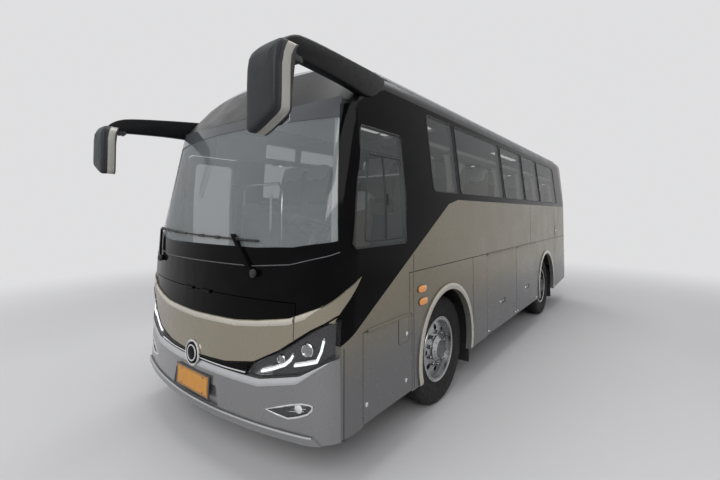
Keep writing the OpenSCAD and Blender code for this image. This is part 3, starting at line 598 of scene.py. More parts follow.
# fog lamps: bright leaf-shaped frame, fins and a round lamp
FOG_LEAF = [(0.757, 0.521), (0.85, 0.553), (0.94, 0.583), (1.02, 0.604), (1.072, 0.606), (1.090, 0.597),
            (1.086, 0.575), (1.066, 0.549), (1.0, 0.520), (0.93, 0.498), (0.85, 0.507)]


def fog_lamp(sy, side):
    s = Shape()
    s.add(tube([on_front(sy * y, z, -0.004) for y, z in FOG_LEAF], 0.007, 8, loop=True))
    my, mz = 0.945, 0.551
    loops = []
    for f, d in ((0.98, -0.008), (0.86, -0.015), (0.6, -0.018)):
        loops.append([on_front(sy * (my + (y - my) * f), mz + (z - mz) * f, d) for y, z in FOG_LEAF])
    s.add(rings(loops), 1)
    for k in range(4):
        def fin(y):
            return 0.528 + 0.016 * k + 0.16 * (abs(y) - 0.86)
        s.add(bead(sy * (0.80 + 0.02 * k), sy * (1.03 + 0.014 * k), 8, fin, -0.013, 0.0035, 6))
    lamp = lathe([(0, 0), (0.030, 0), (0.030, 0.006), (0.024, 0.010), (0, 0.014)], 28)
    s.add(lamp, 2, facing(*on_front(sy * 0.99, 0.565, -0.017), (1, sy * 0.2, 0)))
    s.piece("fog_lamp_" + side, "chrome housing bowl")


# wiper blades parked along the lower edge, caps of the pivots
def wiper_blades():
    for k, (pivot, end, lift) in enumerate(((-0.78, -0.28, 0.025), (0.64, 0.62, 0.0))):
        s = Shape()
        line = [(end - 0.84 * t, 1.600 + 0.022 * t + lift) for t in steps(0, 1, 24)]
        for out, r, n in ((0.0065, 0.0045, 6), (0.0145, 0.0075, 8)):
            s.add(tube([on_front(y, z, out) for y, z in line], r, n))
        for y, z in line[6:19:6]:
            clip = block((-0.006, -0.03, -0.012), (0.012, 0.03, 0.012), 0.004)
            s.add(clip, 0, shift(on_front(y, z, 0.014)))
        cap = lathe([(0, 0), (0.030, 0), (0.028, 0.012), (0.012, 0.022), (0, 0.023)], 24)
        s.add(cap, 0, facing(*on_front(pivot, 1.385, 0.024), EX))
        s.piece("wiper_blade_%d" % (k + 1), "seal")


# windshield: black border outside the glass, strip under the dome, pale trim behind the pillars
def screen_border():
    s = Shape()
    s.add(patch(steps(-1.19, 1.19, 80), lambda y: screen_low(y) + 0.002,
                lambda y: screen_low(y) + 0.125 - 0.05 * (y / 1.2) ** 4, 0.0006, 0.002, 3))
    s.add(patch(steps(-1.085, 1.085, 80), lambda y: 2.452, lambda y: 2.536 + 0.062 * y * y,
                0.0006, 0.002, 3), 3)
    s.add(bead(-1.19, 1.19, 80, lambda y: screen_low(y) - 0.001, 0.002, 0.0035, 6), 2)
    for sy in (-1, 1):
        def border(z, t, out):
            inner = pillar(z) + 0.012
            outer = min(1.214, 1.234 - max(0, z - BELT) * SIDE_LEAN)
            return on_front(sy * (inner + t * (outer - inner)), z, out)

        def trim(z, t, out):
            return on_front(sy * (pillar(z) - 0.030 + 0.044 * t), z, out)
        s.add(slab(border, steps(1.53, 2.548, 18), steps(0, 1, 10), 0.0006, 0.002))
        s.add(slab(trim, steps(1.56, 2.46, 16), steps(0, 1, 4), -0.022, -0.014), 1)
    s.piece("screen_border", "black lining dash header")


front_strip()
badge_disc()
for sy, side in SIDES:
    band_bead(sy, side)
for sy, side in SIDES:
    lamp_inside(sy, side)
number_plate()
for sy, side in SIDES:
    fog_lamp(sy, side)
wiper_blades()
screen_border()

# tyres with ribs and shoulder blocks: half a section from bead to crown, radius and distance off the middle
TYRE_SIDE = [(0.285, 0.093), (0.298, 0.096), (0.310, 0.110), (0.325, 0.118), (0.345, 0.1237),
             (0.362, 0.1249), (0.366, 0.1275), (0.374, 0.1275), (0.378, 0.1262), (0.39, 0.1275),
             (0.43, 0.1262), (0.45, 0.1232), (0.455, 0.1245), (0.462, 0.1192), (0.475, 0.1145),
             (0.484, 0.1084), (0.4935, 0.096), (0.4965, 0.084)]
TYRE_CROWN = [(0.4972, 0.0765), (0.484, 0.0745), (0.484, 0.0655), (0.4982, 0.0635), (0.4990, 0.0445),
              (0.485, 0.0425), (0.485, 0.0335), (0.4995, 0.0315), (0.5, 0.0125), (0.485, 0.0105),
              (0.485, 0.0015)]
TYRE_HALF = TYRE_SIDE + TYRE_CROWN
TYRE = TYRE_HALF + [(r, -w) for r, w in reversed(TYRE_HALF)]
# middles of the front tyre and of the twin tyres off the coach's middle
FRONT_Y, TWIN_Y = 1.017, (1.028, 0.742)


def tread(name, x, sy, ys):
    s = Shape()
    for y in ys:
        loops = []
        for k, a in enumerate(turns(96)):
            loop = []
            for r, w in TYRE:
                # every third step the outer rib is cut down to leave blocks at the shoulder
                if k % 3 == 0 and abs(w) > 0.08 and r > 0.483:
                    r -= 0.009
                loop.append((x + r * cos(a), sy * (y + w), WHEEL_Z + r * sin(a)))
            loops.append(loop)
        s.add(rings(loops + [loops[0]], closed=False, caps=False))
    o = s.piece("tread_" + name, "rubber", "wheel_%s_body" % name, "tyre_rubber", 35)
    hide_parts("tyre_" + name)


def wheel_trim(name, x, sy, middle, face, ring, cap):
    """Nuts on a ring, hub cap with studs, bright rim lip and valve.

    The places off the coach's middle are those of the tyre, the wheel's face and the cap.
    """
    s = Shape()

    def around(r, a, y):
        return x + r * cos(a), sy * y, WHEEL_Z + r * sin(a)

    nut = lathe([(0, 0), (0.023, 0), (0.023, 0.005), (0.0165, 0.007), (0.0165, 0.026), (0.0125, 0.032),
                 (0.0085, 0.033), (0.008, 0.044), (0, 0.045)], 18)
    for a in turns(10):
        s.add(nut, 0, facing(*around(ring, a + pi / 10, face - 0.006), sy * EY))
    hub = [(0.0, -0.002), (0.080, -0.002), (0.081, 0.004), (0.072, 0.010), (0.064, 0.007), (0.05, 0.012),
           (0.02, 0.016), (0, 0.017)]
    s.add(lathe(hub, 48), 2, facing(x, sy * cap, WHEEL_Z, sy * EY))
    for a in turns(8):
        s.add(stud(0.007, 0.007, 12), 0, facing(*around(0.098, a, cap - 0.018), sy * EY))
    lip = middle + 0.105
    bright = [(0.286, -0.010), (0.298, -0.004), (0.3005, 0.0), (0.298, 0.005), (0.290, 0.0055), (0.284, 0.0)]
    s.add(lathe(bright, 72, True), 1, facing(x, sy * lip, WHEEL_Z, sy * EY))
    valve = ((0.262, lip - 0.06), (0.255, lip - 0.015), (0.245, lip + 0.002))
    s.add(tube([around(r, rad(70), y) for r, y in valve], 0.005, 8))
    s.piece("wheel_trim_" + name, "nut alloy iron", "wheel_%s_body" % name)


for end, x, ys, hub in (("front", FA, (FRONT_Y,), (FRONT_Y + 0.078, 0.150, FRONT_Y + 0.128)),
                        ("rear", RA, TWIN_Y, (sum(TWIN_Y) / 2 + 0.018, 0.142, 1.07))):
    for sy, side in SIDES:
        tread(end + "_" + side, x, sy, ys)
        wheel_trim(end + "_" + side, x, sy, ys[0], *hub)

# sides: pane seals, with the driver's window and its sliding pane on the left
PANES = ((-4.99, -3.68), (-3.62, -2.74), (-2.68, -1.74), (-1.68, -0.30), (-0.24, 0.30))
DRIVER_WINDOW = [(0.80, 1.56), (1.41, 1.56), (1.43, 1.58), (1.303, 2.38), (1.285, 2.40), (0.80, 2.40),
                 (0.78, 2.38), (0.78, 1.58)]
SLIDING_PANE = [(0.82, 1.60), (1.30, 1.60), (1.31, 1.62), (1.24, 2.19), (1.22, 2.21), (0.84, 2.21),
                (0.82, 2.19)]


def pane_seals(sy, side):
    at = on_side(sy)
    s = Shape()
    for a, b in PANES:
        s.add(gasket(at, rounded(a, 1.985, b, 2.68, 0.04), -0.001, 0.007))
    if sy > 0:
        s.add(gasket(at, DRIVER_WINDOW, -0.001, 0.007))
        s.add(gasket(at, SLIDING_PANE, -0.003, 0.008))
        s.add(tube([at(FA + 1.06, z, -0.003) for z in (1.60, 1.9, 2.21)], 0.009, 6))
        s.add(block((FA + 1.03, HW - 0.012, 1.85), (FA + 1.05, HW + 0.012, 1.93), 0.004))
    s.piece("pane_seals_" + side, "seal")


def roof_rail(sy, side):
    s = Shape()
    # a real silver rail, drawn in the lighter ledge copy of the silver paint as a painted highlight
    s.add(tube([(x, sy * 1.076, 2.876) for x in steps(XR + 0.28, FA + 0.98, 30)], 0.014, 10))
    s.piece("roof_rail_" + side, "ledge", slot="silver_paint")


def panel_seams(sy, side):
    s = Shape()
    seams = [(-0.580, 0.40, 1.312), (-2.94, 1.335, 1.9), (-4.72, 0.46, 1.9)]
    if sy > 0:
        seams = [(0.672, 0.40, 1.312), (0.735, 1.01, 1.312)] + seams
    for x, z0, z1 in seams:
        s.add(slab(on_side(sy), (FA + x - 0.002, FA + x + 0.002), steps(z0, z1, 4), 0.0, 0.0012))
    s.piece("panel_seams_" + side, "seal")


def side_markers(sy, side):
    s = Shape()
    loop = oval(Vector((0, 0)), 0.075, 0.031, FLAT_X, FLAT_Y, 3.0, 28)
    for x, z in ((0.537, 1.164), (0.521, 1.059)):
        at = on_wall(sy, FA + x, z)
        s.add(stepped(loop, ((1.0, 0.0), (1.0, 0.005), (0.93, 0.008))), 0, at)
        s.add(stepped(loop, ((0.92, 0.004), (0.90, 0.010), (0.72, 0.015), (0.35, 0.018))), 1, at)
    s.piece("side_markers_" + side, "housing amber")


def arch_lip_highlight(sy, side):
    # a proud ring in the lighter edge paint: painted highlight on the lips of the wheel arches
    lip = [(0.527, 0.008), (0.528, 0.0135), (0.537, 0.0165), (0.558, 0.0175), (0.575, 0.0155),
           (0.5815, 0.0125), (0.582, 0.008)]
    s = Shape()
    for x in (FA, RA):
        loops = []
        for a in steps(rad(-16), rad(196), 72):
            loops.append([on_arch(x, r, a, sy * (HW + d)) for r, d in lip])
        s.add(rings(loops))
    s.piece("arch_lip_highlight_" + side, "edge", slot="champagne_paint")


def filler_flap(sy, side):
    """A flap with a lock behind the rear wheel."""
    s = Shape()
    m = on_wall(sy, FA - 4.86, 1.45)
    loop = rounded(-0.12, -0.09, 0.12, 0.09, 0.03)
    s.add(stepped(loop, ((1, 0), (1, 0.004), (0.975, 0.006), (0.2, 0.0065))), 0, m)
    s.add(stud(0.014, 0.005), 1, m @ shift((0.085, 0, 0.006)))
    s.piece("filler_flap_" + side, "paint chrome", slot="champagne_paint")


def bay_handles(sy, side):
    """Sunk pull handle, lock and catches of each luggage door."""
    for k in (1, 2):
        s = Shape()
        p = on_side(sy)(FA - 0.99 - 1.165 * (k - 0.5), 0.688)

        def pull(u, v, out):
            return p.x + u, p.y - sy * (0.013 - out - 0.006 * cos(u * 20)), v
        s.add(block((p.x - 0.079, p.y - sy * 0.0178, 0.661), (p.x + 0.079, p.y - sy * 0.013, 0.715), 0.002))
        s.add(slab(pull, steps(-0.066, 0.066, 10), steps(0.674, 0.708, 4), 0.0, 0.006), 1)
        s.add(stud(0.013, 0.007), 2, facing(p.x + 0.115, p.y, p.z, sy * EY))
        for t in (-0.53, 0.53):
            s.add(stud(0.010, 0.005, 16), 2, facing(p.x + t, p.y, 0.43, sy * EY))
        door = "%s_%d" % (side, k)
        s.piece("bay_handle_" + door, "housing silver chrome", "luggage_door_%s_body" % door)


def service_latches():
    """A small cover with its seal, and latches, on the service hatch."""
    s = Shape()
    loop = rounded(-0.075, -0.10, 0.075, 0.10, 0.018)
    m = on_wall(1, FA + 0.825, 0.90)
    s.add(stepped(loop, ((1, 0), (1, 0.003), (0.97, 0.0045), (0.2, 0.005))), 0, m)
    s.add(tube([m @ Vector((x, z, 0.0012)) for x, z in loop], 0.0022, 6, loop=True), 1)
    latch = lathe([(0, 0), (0.016, 0), (0.016, 0.004), (0.010, 0.007), (0, 0.0075)], 24)
    for x, z, out in ((0.798, 0.507, 0.0), (1.30, 0.52, 0.0), (0.79, 0.86, 0.004)):
        s.add(latch, 2, facing(*on_side(1)(FA + x, z, out), EY))
    s.piece("service_latches", "paint seal chrome", "service_hatch_body")


for sy, side in SIDES:
    pane_seals(sy, side)
    roof_rail(sy, side)
    panel_seams(sy, side)
    side_markers(sy, side)
    arch_lip_highlight(sy, side)
    filler_flap(sy, side)
    bay_handles(sy, side)
service_latches()


# seams round the bumper, painted shade as a dark strip in the groove, painted highlights as a light ridge on
# the band and a light ledge on the bumper
def seams_and_groove_shade(sy, side):
    at = on_side(sy)
    s = Shape()
    s.add(tube([at(FA + 1.530, z) for z in steps(0.388, 0.95, 8)], 0.003, 6))
    s.add(bead(sy * 0.70, sy * 1.205, 30, bumper_top, 0.0, 0.0035, 6))
    # painted shade: a dark strip laid inside the side groove, where its shade falls
    for a, b in ((XR + 0.27, RA + 0.66), (FA - 0.97, FA + 0.743)):
        s.add(slab(at, steps(a, b, 6), (GROOVE - 0.0035, GROOVE + 0.0035), -0.0038, -0.0022))
    # painted shade: over the luggage doors the groove's dark line lies on the wall just above their gap
    s.add(slab(at, steps(RA + 0.67, FA - 0.98, 8), (GROOVE - 0.0005, GROOVE + 0.0055), 0.0, 0.0008))
    foot, top = (0.672, 0.668) if sy > 0 else (0.64, 0.64)
    s.add(tube([at(FA + foot, GROOVE + 0.004, -0.0005), at(FA + top, 1.46, -0.0005)], 0.0028, 6))
    s.piece("seams_and_groove_shade_" + side, "seal")


def ridge(y, t, out):
    """The strip of painted highlight along the top of the band, where it faces up, tapering to its ends."""
    f = min(1, (1.136 - abs(y)) / 0.10)
    rise = 0.007 + 0.006 * f * sin(pi * t) - 0.004 * t
    return on_front(y, band_top(y) - 0.001 - 0.040 * f * (1 - t), rise + out)


def ledge(y, t, out):
    """The strip of painted highlight along the top of the bumper, where it faces up, tapering to its ends."""
    f = min(1, (1.195 - abs(y)) / 0.22)
    rise = 0.010 * f * sin(pi * (0.15 + 0.85 * t)) - 0.003
    return on_front(y, bumper_top(y) - 0.002 - 0.048 * f * (1 - t), rise + out)


# strips of painted highlight on the band and the bumper
def highlight_strip(name, fn, mat, ys, body="body", slot="champagne_paint"):
    s = Shape()
    if fn is ledge:
        # a bead of painted highlight along the lower edge of the bumper
        s.add(bead(-1.10, 1.10, 80, lambda y: 0.4165, 0.0115, 0.0065))
    s.add(slab(fn, ys, steps(0, 1, 6), 0.0, 0.004))
    s.piece(name, mat, body, slot)


for sy, side in SIDES:
    seams_and_groove_shade(sy, side)
    highlight_strip("band_ridge_highlight_" + side, ridge, "edge", steps(sy * 0.968, sy * 1.135, 20))
highlight_strip("band_ridge_highlight", ridge, "edge", steps(-0.950, 0.950, 90), "front_flap_body")
highlight_strip("bumper_edge_highlights", ledge, "ledge", steps(-1.19, 1.19, 110), slot="silver_paint")

# mirrors: smooth arm and head over the plain solids, the outline seen from ahead about the head's top
MIRROR_EDGE = soften([(-0.105, -0.430), (-0.095, -0.455), (-0.070, -0.465), (0.095, -0.385), (0.118, -0.365),
                      (0.125, -0.335), (0.125, -0.020), (0.110, 0.0), (-0.010, 0.0), (-0.070, -0.025),
                      (-0.100, -0.070)])


def mirror_head(s, sy, xh, zt):
    """Domed front, black edge, cream ring, rear rim and two glasses."""
    def bent(d, y, z):
        """A point of the head, whose top bends back to the arm."""
        return xh + d - 3.8 * max(0.0, z + 0.12) ** 2, sy * (HW + y), zt + z

    def layers(rows):
        return [[bent(d, y, z) for y, z in shrink(MIRROR_EDGE, inset)] for d, inset in rows]

    rim = shrink(MIRROR_EDGE, 0.012)
    my, mz = (sum(c) / len(rim) for c in zip(*rim))
    face = []
    for d, f in ((0.0645, 0.04), (0.0642, 0.35), (0.0630, 0.70), (0.0610, 0.90), (0.0595, 1.0)):
        face.append([bent(d, my + (y - my) * f, mz + (z - mz) * f) for y, z in rim])
    face += layers(((0.0565, 0.0065), (0.0515, 0.003), (0.045, 0.001), (0.034, 0.0)))
    s.add(rings(face), 0)
    s.add(rings(layers(((0.034, 0.0015), (0.034, -0.001), (0.012, -0.001), (0.012, 0.0015)))), 1)
    s.add(rings(layers(((0.012, 0.004), (0.006, 0.002), (-0.040, 0.002), (-0.046, 0.004)))), 2)
    s.add(rings(layers(((-0.046, 0.002), (-0.047, -0.001), (-0.054, 0.0), (-0.058, 0.008),
                        (-0.0582, 0.014)))), 1)
    for z0, z1 in ((-0.30, -0.035), (-0.42, -0.315)):
        glass = []
        for d, f in ((0.0585, 1.0), (0.0615, 0.99), (0.0627, 0.5)):
            pane = oval(Vector((0.012, (z0 + z1) / 2)), 0.088 * f, (z1 - z0) / 2 * f, FLAT_X, FLAT_Y, 6, 32)
            glass.append([bent(-d, *q) for q in pane])
        s.add(rings(glass), 3)


def mirror_arm(s, sy, xh, zt):
    """A blade from the dome to the head, with two hinge pins under its end."""
    foot = Vector((FA + 1.08, HW - 0.11, 0))
    run = Vector((xh - 0.03, HW + 0.05, 0)) - foot
    reach = run.length
    run.normalize()
    across = Vector((-run.y, run.x, 0))
    outline = soften([(-0.150, 0.130), (-0.150, 0.185), (0.35, 0.146), (reach - 0.180, 0.100),
                      (reach - 0.070, 0.066), (reach + 0.010, 0.0), (reach + 0.010, -0.060),
                      (reach - 0.070, -0.060), (reach - 0.130, -0.045), (0.400, -0.030), (0.118, -0.043),
                      (-0.020, 0.010), (-0.110, 0.080)])
    loops = []
    for t, inset in ((-0.034, 0.014), (-0.031, 0.005), (-0.024, 0.0), (0.024, 0.0), (0.031, 0.005),
                     (0.034, 0.014)):
        spots = [(foot + run * u + across * t, z) for u, z in shrink(outline, inset)]
        loops.append([(p.x, sy * p.y, zt + z) for p, z in spots])
    s.add(rings(loops), 4)
    pin = lathe([(0, -0.038), (0.018, -0.038), (0.020, -0.034), (0.020, 0.034), (0.018, 0.038),
                 (0, 0.038)], 24)
    for back in (0.13, 0.10):
        p = foot + run * (reach - back)
        s.add(pin, 1, facing(p.x, sy * p.y, zt - 0.052, (across.x, sy * across.y, 0)))


for sy, side, xh, zt in ((1, "left", FA + 2.13, 2.66), (-1, "right", FA + 2.05, 2.61)):
    s = Shape()
    mirror_head(s, sy, xh, zt)
    mirror_arm(s, sy, xh, zt)
    o = s.piece("mirror_form_" + side, "shell seal cream mirror arm", slot="mirror_shell", angle=40)
    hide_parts("mirror_" + side)


# soft seats: rounded pads with stitched channels, white head covers
def pad(size, channels, n=9, k=5.0, crown=0.0):
    """A stuffed block about its own middle: half sizes, places of stitched lines across Y, rounding k."""
    index, points, faces = {}, [], []

    def vert(p):
        key = tuple(round(c, 5) for c in p)
        if key not in index:
            f = (abs(p[0]) ** k + abs(p[1]) ** k + abs(p[2]) ** k) ** (1 / k)
            q = [c / f for c in p]
            x, y, z = (q[i] * size[i] for i in range(3))
            dip = sum(exp(-((y - c) / 0.012) ** 2) for c in channels)
            x += (crown * (1 - q[1] ** 2) * (1 - q[2] ** 2) - 0.010 * dip) * max(q[0], 0)
            index[key] = len(points)
            points.append((x, y, z))
        return index[key]

    def quad(axis, side, i, j):
        corners = []
        for a, b in ((i, j), (i + 1, j), (i + 1, j + 1), (i, j + 1)):
            p = [0, 0, 0]
            p[axis], p[(axis + 1) % 3], p[(axis + 2) % 3] = side, 2 * a / n - 1, 2 * b / n - 1
            corners.append(vert(p))
        return tuple(corners)

    for axis in range(3):
        for side in (-1, 1):
            faces += [quad(axis, side, i, j) for i in range(n) for j in range(n)]
    return points, faces


def seat(shape, x, y, z, w):
    """One seat from the middle of its rear lower edge: cushion, back and head cover."""
    lie = shift((x + 0.235, y, z + 0.395)) @ Matrix.Rotation(rad(-92), 4, "Y")
    shape.add(pad((0.056, w / 2 - 0.008, 0.222), (-0.07, 0.07), crown=0.016), 0, lie)
    lean = shift((x + 0.012, y, z + 0.735)) @ Matrix.Rotation(rad(-12), 4, "Y")
    shape.add(pad((0.052, w / 2 - 0.010, 0.310), (-0.07, 0.07), crown=0.014), 0, lean)
    top = shift((x - 0.032, y, z + 0.935)) @ Matrix.Rotation(rad(-12), 4, "Y")
    shape.add(pad((0.061, w / 2 - 0.030, 0.108), (), crown=0.012), 1, top)


def seat_frame(f, x, y0):
    """Feet, tray, arm rests and grab rail of a double seat."""
    for y in (y0 + 0.10, y0 + 0.77):
        f.add(block((x + 0.13, y - 0.02, 1.331), (x + 0.30, y + 0.02, 1.352), 0.004))
        f.add(tube([(x + 0.21, y, 1.345), (x + 0.21, y, 1.62), (x + 0.20, y, 1.68)], 0.018, 8))
    f.add(block((x + 0.04, y0 + 0.02, 1.652), (x + 0.42, y0 + 0.85, 1.680), 0.006))
    for y in (y0 - 0.012, y0 + 0.435, y0 + 0.882):
        f.add(tube([(x + 0.06, y, 1.90), (x + 0.24, y, 1.915), (x + 0.34, y, 1.905)], 0.018, 8, 1.3), 1)
        f.add(tube([(x + 0.06, y, 1.90), (x + 0.05, y, 1.70)], 0.014, 8))
    rail = ((-0.145, 0.12, 2.02), (-0.16, 0.16, 2.05), (-0.16, 0.71, 2.05), (-0.145, 0.75, 2.02))
    f.add(tube([(x + dx, y0 + dy, z) for dx, dy, z in rail], 0.011, 8))


SEAT_ROWS, SEAT_PITCH, SEAT_W = 8, 0.76, 0.435
s, f = Shape(), Shape()
for row in range(SEAT_ROWS):
    x = FA + 0.05 - SEAT_PITCH * row
    for y0 in (0.24, -1.11):
        for k in (0.5, 1.5):
            seat(s, x, y0 + SEAT_W * k, DECK, SEAT_W)
        seat_frame(f, x, y0)
o = s.piece("saloon_seats", "cloth cover", slot="seat_cloth", angle=70)
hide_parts("seats")
f.piece("seat_frames", "frame dash")
s, f = Shape(), Shape()
seat(s, FA + 0.69, 0.60, CAB, 0.48)
o = s.piece("driver_seat_pads", "cloth cover", slot="cabin_plastic", angle=70)
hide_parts("driver_seat")
f.add(block((FA + 0.76, 0.44, 0.941), (FA + 1.08, 0.76, 0.99), 0.01))
bellows = ((0.99, 0.15), (1.04, 0.125), (1.10, 0.14), (1.15, 0.12), (1.21, 0.14), (1.27, 0.16), (1.285, 0.16))
f.add(rings([oval(Vector((FA + 0.92, 0.60, z)), a, a * 0.9, EX, EY, 4, 24) for z, a in bellows]))
f.piece("driver_seat_base", "dash")


# curtains gathered at the pillars
def curtain(name, sy, x, w):
    low, high, flat_h, folds = 1.99, 2.385, 0.397, 7
    cols = steps(-0.5, 0.5, 64)

    def cloth(t, z):
        pinch = 1 - 0.35 * exp(-((z - 2.22) / 0.14) ** 2)
        p = on_side(sy)(FA + x + w * t * pinch, z, -0.085)
        p.y += sy * 0.016 * sin(t * 2 * pi * folds)
        return p

    points = [[cloth(t, z) for t in cols] for z in steps(low, high, 12)]
    flat_w = sum((a - b).length for a, b in zip(points[-1], points[-1][1:]))
    for r0, r1 in zip(points, points[1:]):
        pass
    s = Shape()
    s.add(rings(points, closed=False, caps=False))
    o = s.piece(name, "curtain", angle=60)


for sy, side in SIDES:
    for k, (x, w) in enumerate(((-4.90, 0.20), (-3.65, 0.22), (-2.71, 0.22), (-1.71, 0.24), (-0.27, 0.22))):
        curtain("curtain_%s_%d" % (side, k + 1), sy, x, w)


# inside: ceiling and side linings, saloon lamps, rack rails and reading lamps
def saloon_lining():
    def ceiling(x, y, out):
        return x, y, roof_at(y, out - 0.050)

    s = Shape()
    s.add(slab(ceiling, steps(XR + 0.32, FA + 0.86, 12), steps(-0.98, 0.98, 24), 0.0, -0.008))
    for y in (-0.34, 0.34):
        for x in steps(XR + 0.5, FA - 0.3, 6)[:-1]:
            lamp = slab(ceiling, steps(x + 0.06, x + 0.80, 4), steps(y - 0.045, y + 0.045, 3), -0.008, -0.022)
            s.add(lamp, 1)
    for sy in (1, -1):
        def wall(x, z, out):
            return x, sy * (HW - 0.047 + out), z

        def over_door(x, z, out):
            return on_side(sy)(x, z, out - 0.052)
        s.add(slab(wall, steps(XR + 0.34, FA + 0.60, 10), steps(1.332, 1.91, 3), 0.0, -0.006))
        s.add(slab(over_door, steps(FA + 0.31, FA + 1.0, 8), steps(2.42, 2.74, 4), 0.0, -0.006))
        s.add(tube([(x, sy * 0.815, 2.40) for x in steps(XR + 0.51, FA + 0.49, 20)], 0.016, 8), 2)
        for row in range(SEAT_ROWS):
            x = FA + 0.20 - SEAT_PITCH * row
            s.add(block((x - 0.09, sy * 0.96 - 0.06, 2.388), (x + 0.09, sy * 0.96 + 0.06, 2.408), 0.006), 2)
            lens = lathe([(0, 0), (0.024, 0), (0.022, 0.008), (0, 0.009)], 20)
            s.add(lens, 1, facing(x, sy * 0.96, 2.389, -EZ))
    s.piece("saloon_lining", "lining lit dash")


# dash shelf, instrument hood, levers, pedals, partition rails behind the cab and the door
def driver_controls():
    def shelf(y, t, out):
        back, ahead = FA + 1.42, on_front(y, 1.372, -0.060).x
        return back + (ahead - back) * t, y, 1.378 + 0.02 * sin(t * pi) + out

    s = Shape()
    s.add(slab(shelf, steps(-0.95, 0.98, 40), steps(0, 1, 8), 0.0, -0.012))
    hood = []
    for y, a in ((0.30, 0.55), (0.34, 0.85), (0.42, 1.0), (0.78, 1.0), (0.86, 0.85), (0.90, 0.55)):
        hood.append(oval(Vector((FA + 1.37, y, 1.37)), 0.13 * a, 0.13 * a, EX, EZ, 2.6, 24))
    s.add(rings(hood))
    for y, r in ((0.52, 0.045), (0.60, 0.03), (0.68, 0.045)):
        dial = lathe([(0, 0), (r, 0), (r, 0.010), (r * 0.85, 0.010), (r * 0.82, 0.004), (0, 0.004)], 28)
        s.add(dial, 1, facing(FA + 1.255, y, 1.43, (-1, 0, 0.35)))
    s.add(block((FA + 1.255, -0.10, 1.22), (FA + 1.275, 0.20, 1.36), 0.006), 2)
    for k in range(6):
        s.add(block((FA + 1.262, 0.86 + 0.03 * k, 1.26), (FA + 1.276, 0.882 + 0.03 * k, 1.30), 0.003), 1)
    s.add(tube([(FA + 1.02, 0.27, CAB), (FA + 1.02, 0.27, 1.20), (FA + 1.00, 0.27, 1.42)], 0.014, 8), 1)
    knob = lathe([(0, -0.03), (0.024, -0.022), (0.03, 0.0), (0.024, 0.022), (0, 0.03)], 20)
    s.add(knob, 0, facing(FA + 1.0, 0.27, 1.44, EZ))
    for y in (0.50, 0.62, 0.72):
        s.add(block((FA + 1.20, y - 0.035, 0.99), (FA + 1.22, y + 0.035, 1.08), 0.006))
        s.add(tube([(FA + 1.215, y, 1.03), (FA + 1.30, y, 1.06)], 0.010, 6), 1)
    for y0, y1 in ((0.30, 1.15), (-1.15, -0.45)):
        rail = ((y0, 1.332), (y0, 2.05), (y0 + 0.06, 2.12), (y1 - 0.06, 2.12), (y1, 2.05), (y1, 1.332))
        s.add(tube([(FA + 0.60, y, z) for y, z in rail], 0.017, 10), 1)
        s.add(block((FA + 0.594, y0 + 0.02, 1.40), (FA + 0.606, y1 - 0.02, 1.78), 0.004), 2)
    for z in (0.75, 1.0, 1.25, 1.5, 1.75):
        s.add(tube([(FA + 0.70, -0.52, z), (FA + 0.70, -0.52, z + 0.25)], 0.016, 8), 1)
    s.piece("driver_controls", "dash chrome housing")


# roof: hatches, pod with slanting sides, its fans with guards and its side louvres
def roof_hatches():
    s = Shape()
    for x in (FA - 0.55, XR + 0.75):
        loops = []
        for d, f in ((0.0, 1.0), (0.030, 1.0), (0.044, 0.97), (0.050, 0.85), (0.054, 0.3)):
            loop = rounded(-0.36 * f, -0.28 * f, 0.36 * f, 0.28 * f, 0.07 * f)
            loops.append([(x + a, b, roof_at(b) - 0.004 + d) for a, b in loop])
        s.add(rings(loops))
        for b in (-0.16, 0.16):
            s.add(block((x + 0.33, b - 0.05, 3.02), (x + 0.40, b + 0.05, 3.045), 0.006), 1)
    s.piece("roof_hatches", "pod seal", slot="pod_shell")


def pod_cover():
    top = 3.19
    half = [(0.85, 2.90), (0.85, 3.005), (0.838, 3.028), (0.62, 3.155), (0.56, 3.178), (0.48, 3.188),
            (0.24, top), (0.0, top)]
    section = half + [(-y, z) for y, z in reversed(half[:-1])]
    s = Shape()
    loops = []
    for x, drop, f in ((-1.300, 0.17, 0.985), (-1.305, 0.155, 0.99), (-1.48, 0.062, 1.0), (-1.62, 0.010, 1.0),
                       (-1.70, 0.0, 1.0), (-3.38, 0.0, 1.0), (-3.45, 0.010, 1.0), (-3.585, 0.12, 0.99),
                       (-3.600, 0.14, 0.985)):
        loops.append([(FA + x, y * f, min(z, top - drop)) for y, z in section])
    s.add(rings(loops))
    for x in (-2.06, -2.95):
        s.add(tube([(FA + x, y, z + 0.001) for y, z in section[1:-1]], 0.004, 6), 1)
    o = s.piece("pod_cover", "pod seal", slot="pod_shell", angle=24)
    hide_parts("ac_unit")


def pod_fans():
    def spot(r, a, z):
        return r * cos(a), r * sin(a), z

    s = Shape()
    for sy in (-1, 1):
        m = shift((FA - 2.50, sy * 0.27, 3.186)) @ Matrix.Scale(0.86, 4)
        s.add(lathe([(0, 0), (0.255, 0), (0.255, 0.004), (0, 0.004)], 48), 0, m)
        s.add(lathe([(0, 0.004), (0.07, 0.004), (0.066, 0.022), (0, 0.028)], 32), 1, m)
        for a in turns(7):
            blade = []
            for r in steps(0.06, 0.235, 4):
                blade.append([spot(r, a + t, 0.008 + 0.044 * t) for t in steps(0, 0.5, 6)])
            s.add(rings(blade, closed=False, caps=False), 1, m)
        for r in steps(0.04, 0.25, 8):
            s.add(tube([spot(r, a, 0.037) for a in turns(48)], 0.0025, 5, loop=True), 2, m)
        for a in turns(12)[:6]:
            s.add(tube([spot(0.255, a, 0.034), (0, 0, 0.036), spot(-0.255, a, 0.034)], 0.003, 5), 2, m)
        for k in range(9):
            x = FA - 3.30 + 0.17 * k
            for z in (2.958, 2.982):
                s.add(block((x, sy * 0.849, z), (x + 0.13, sy * 0.853, z + 0.014), 0.001))
    s.piece("pod_fans", "mesh housing nut")


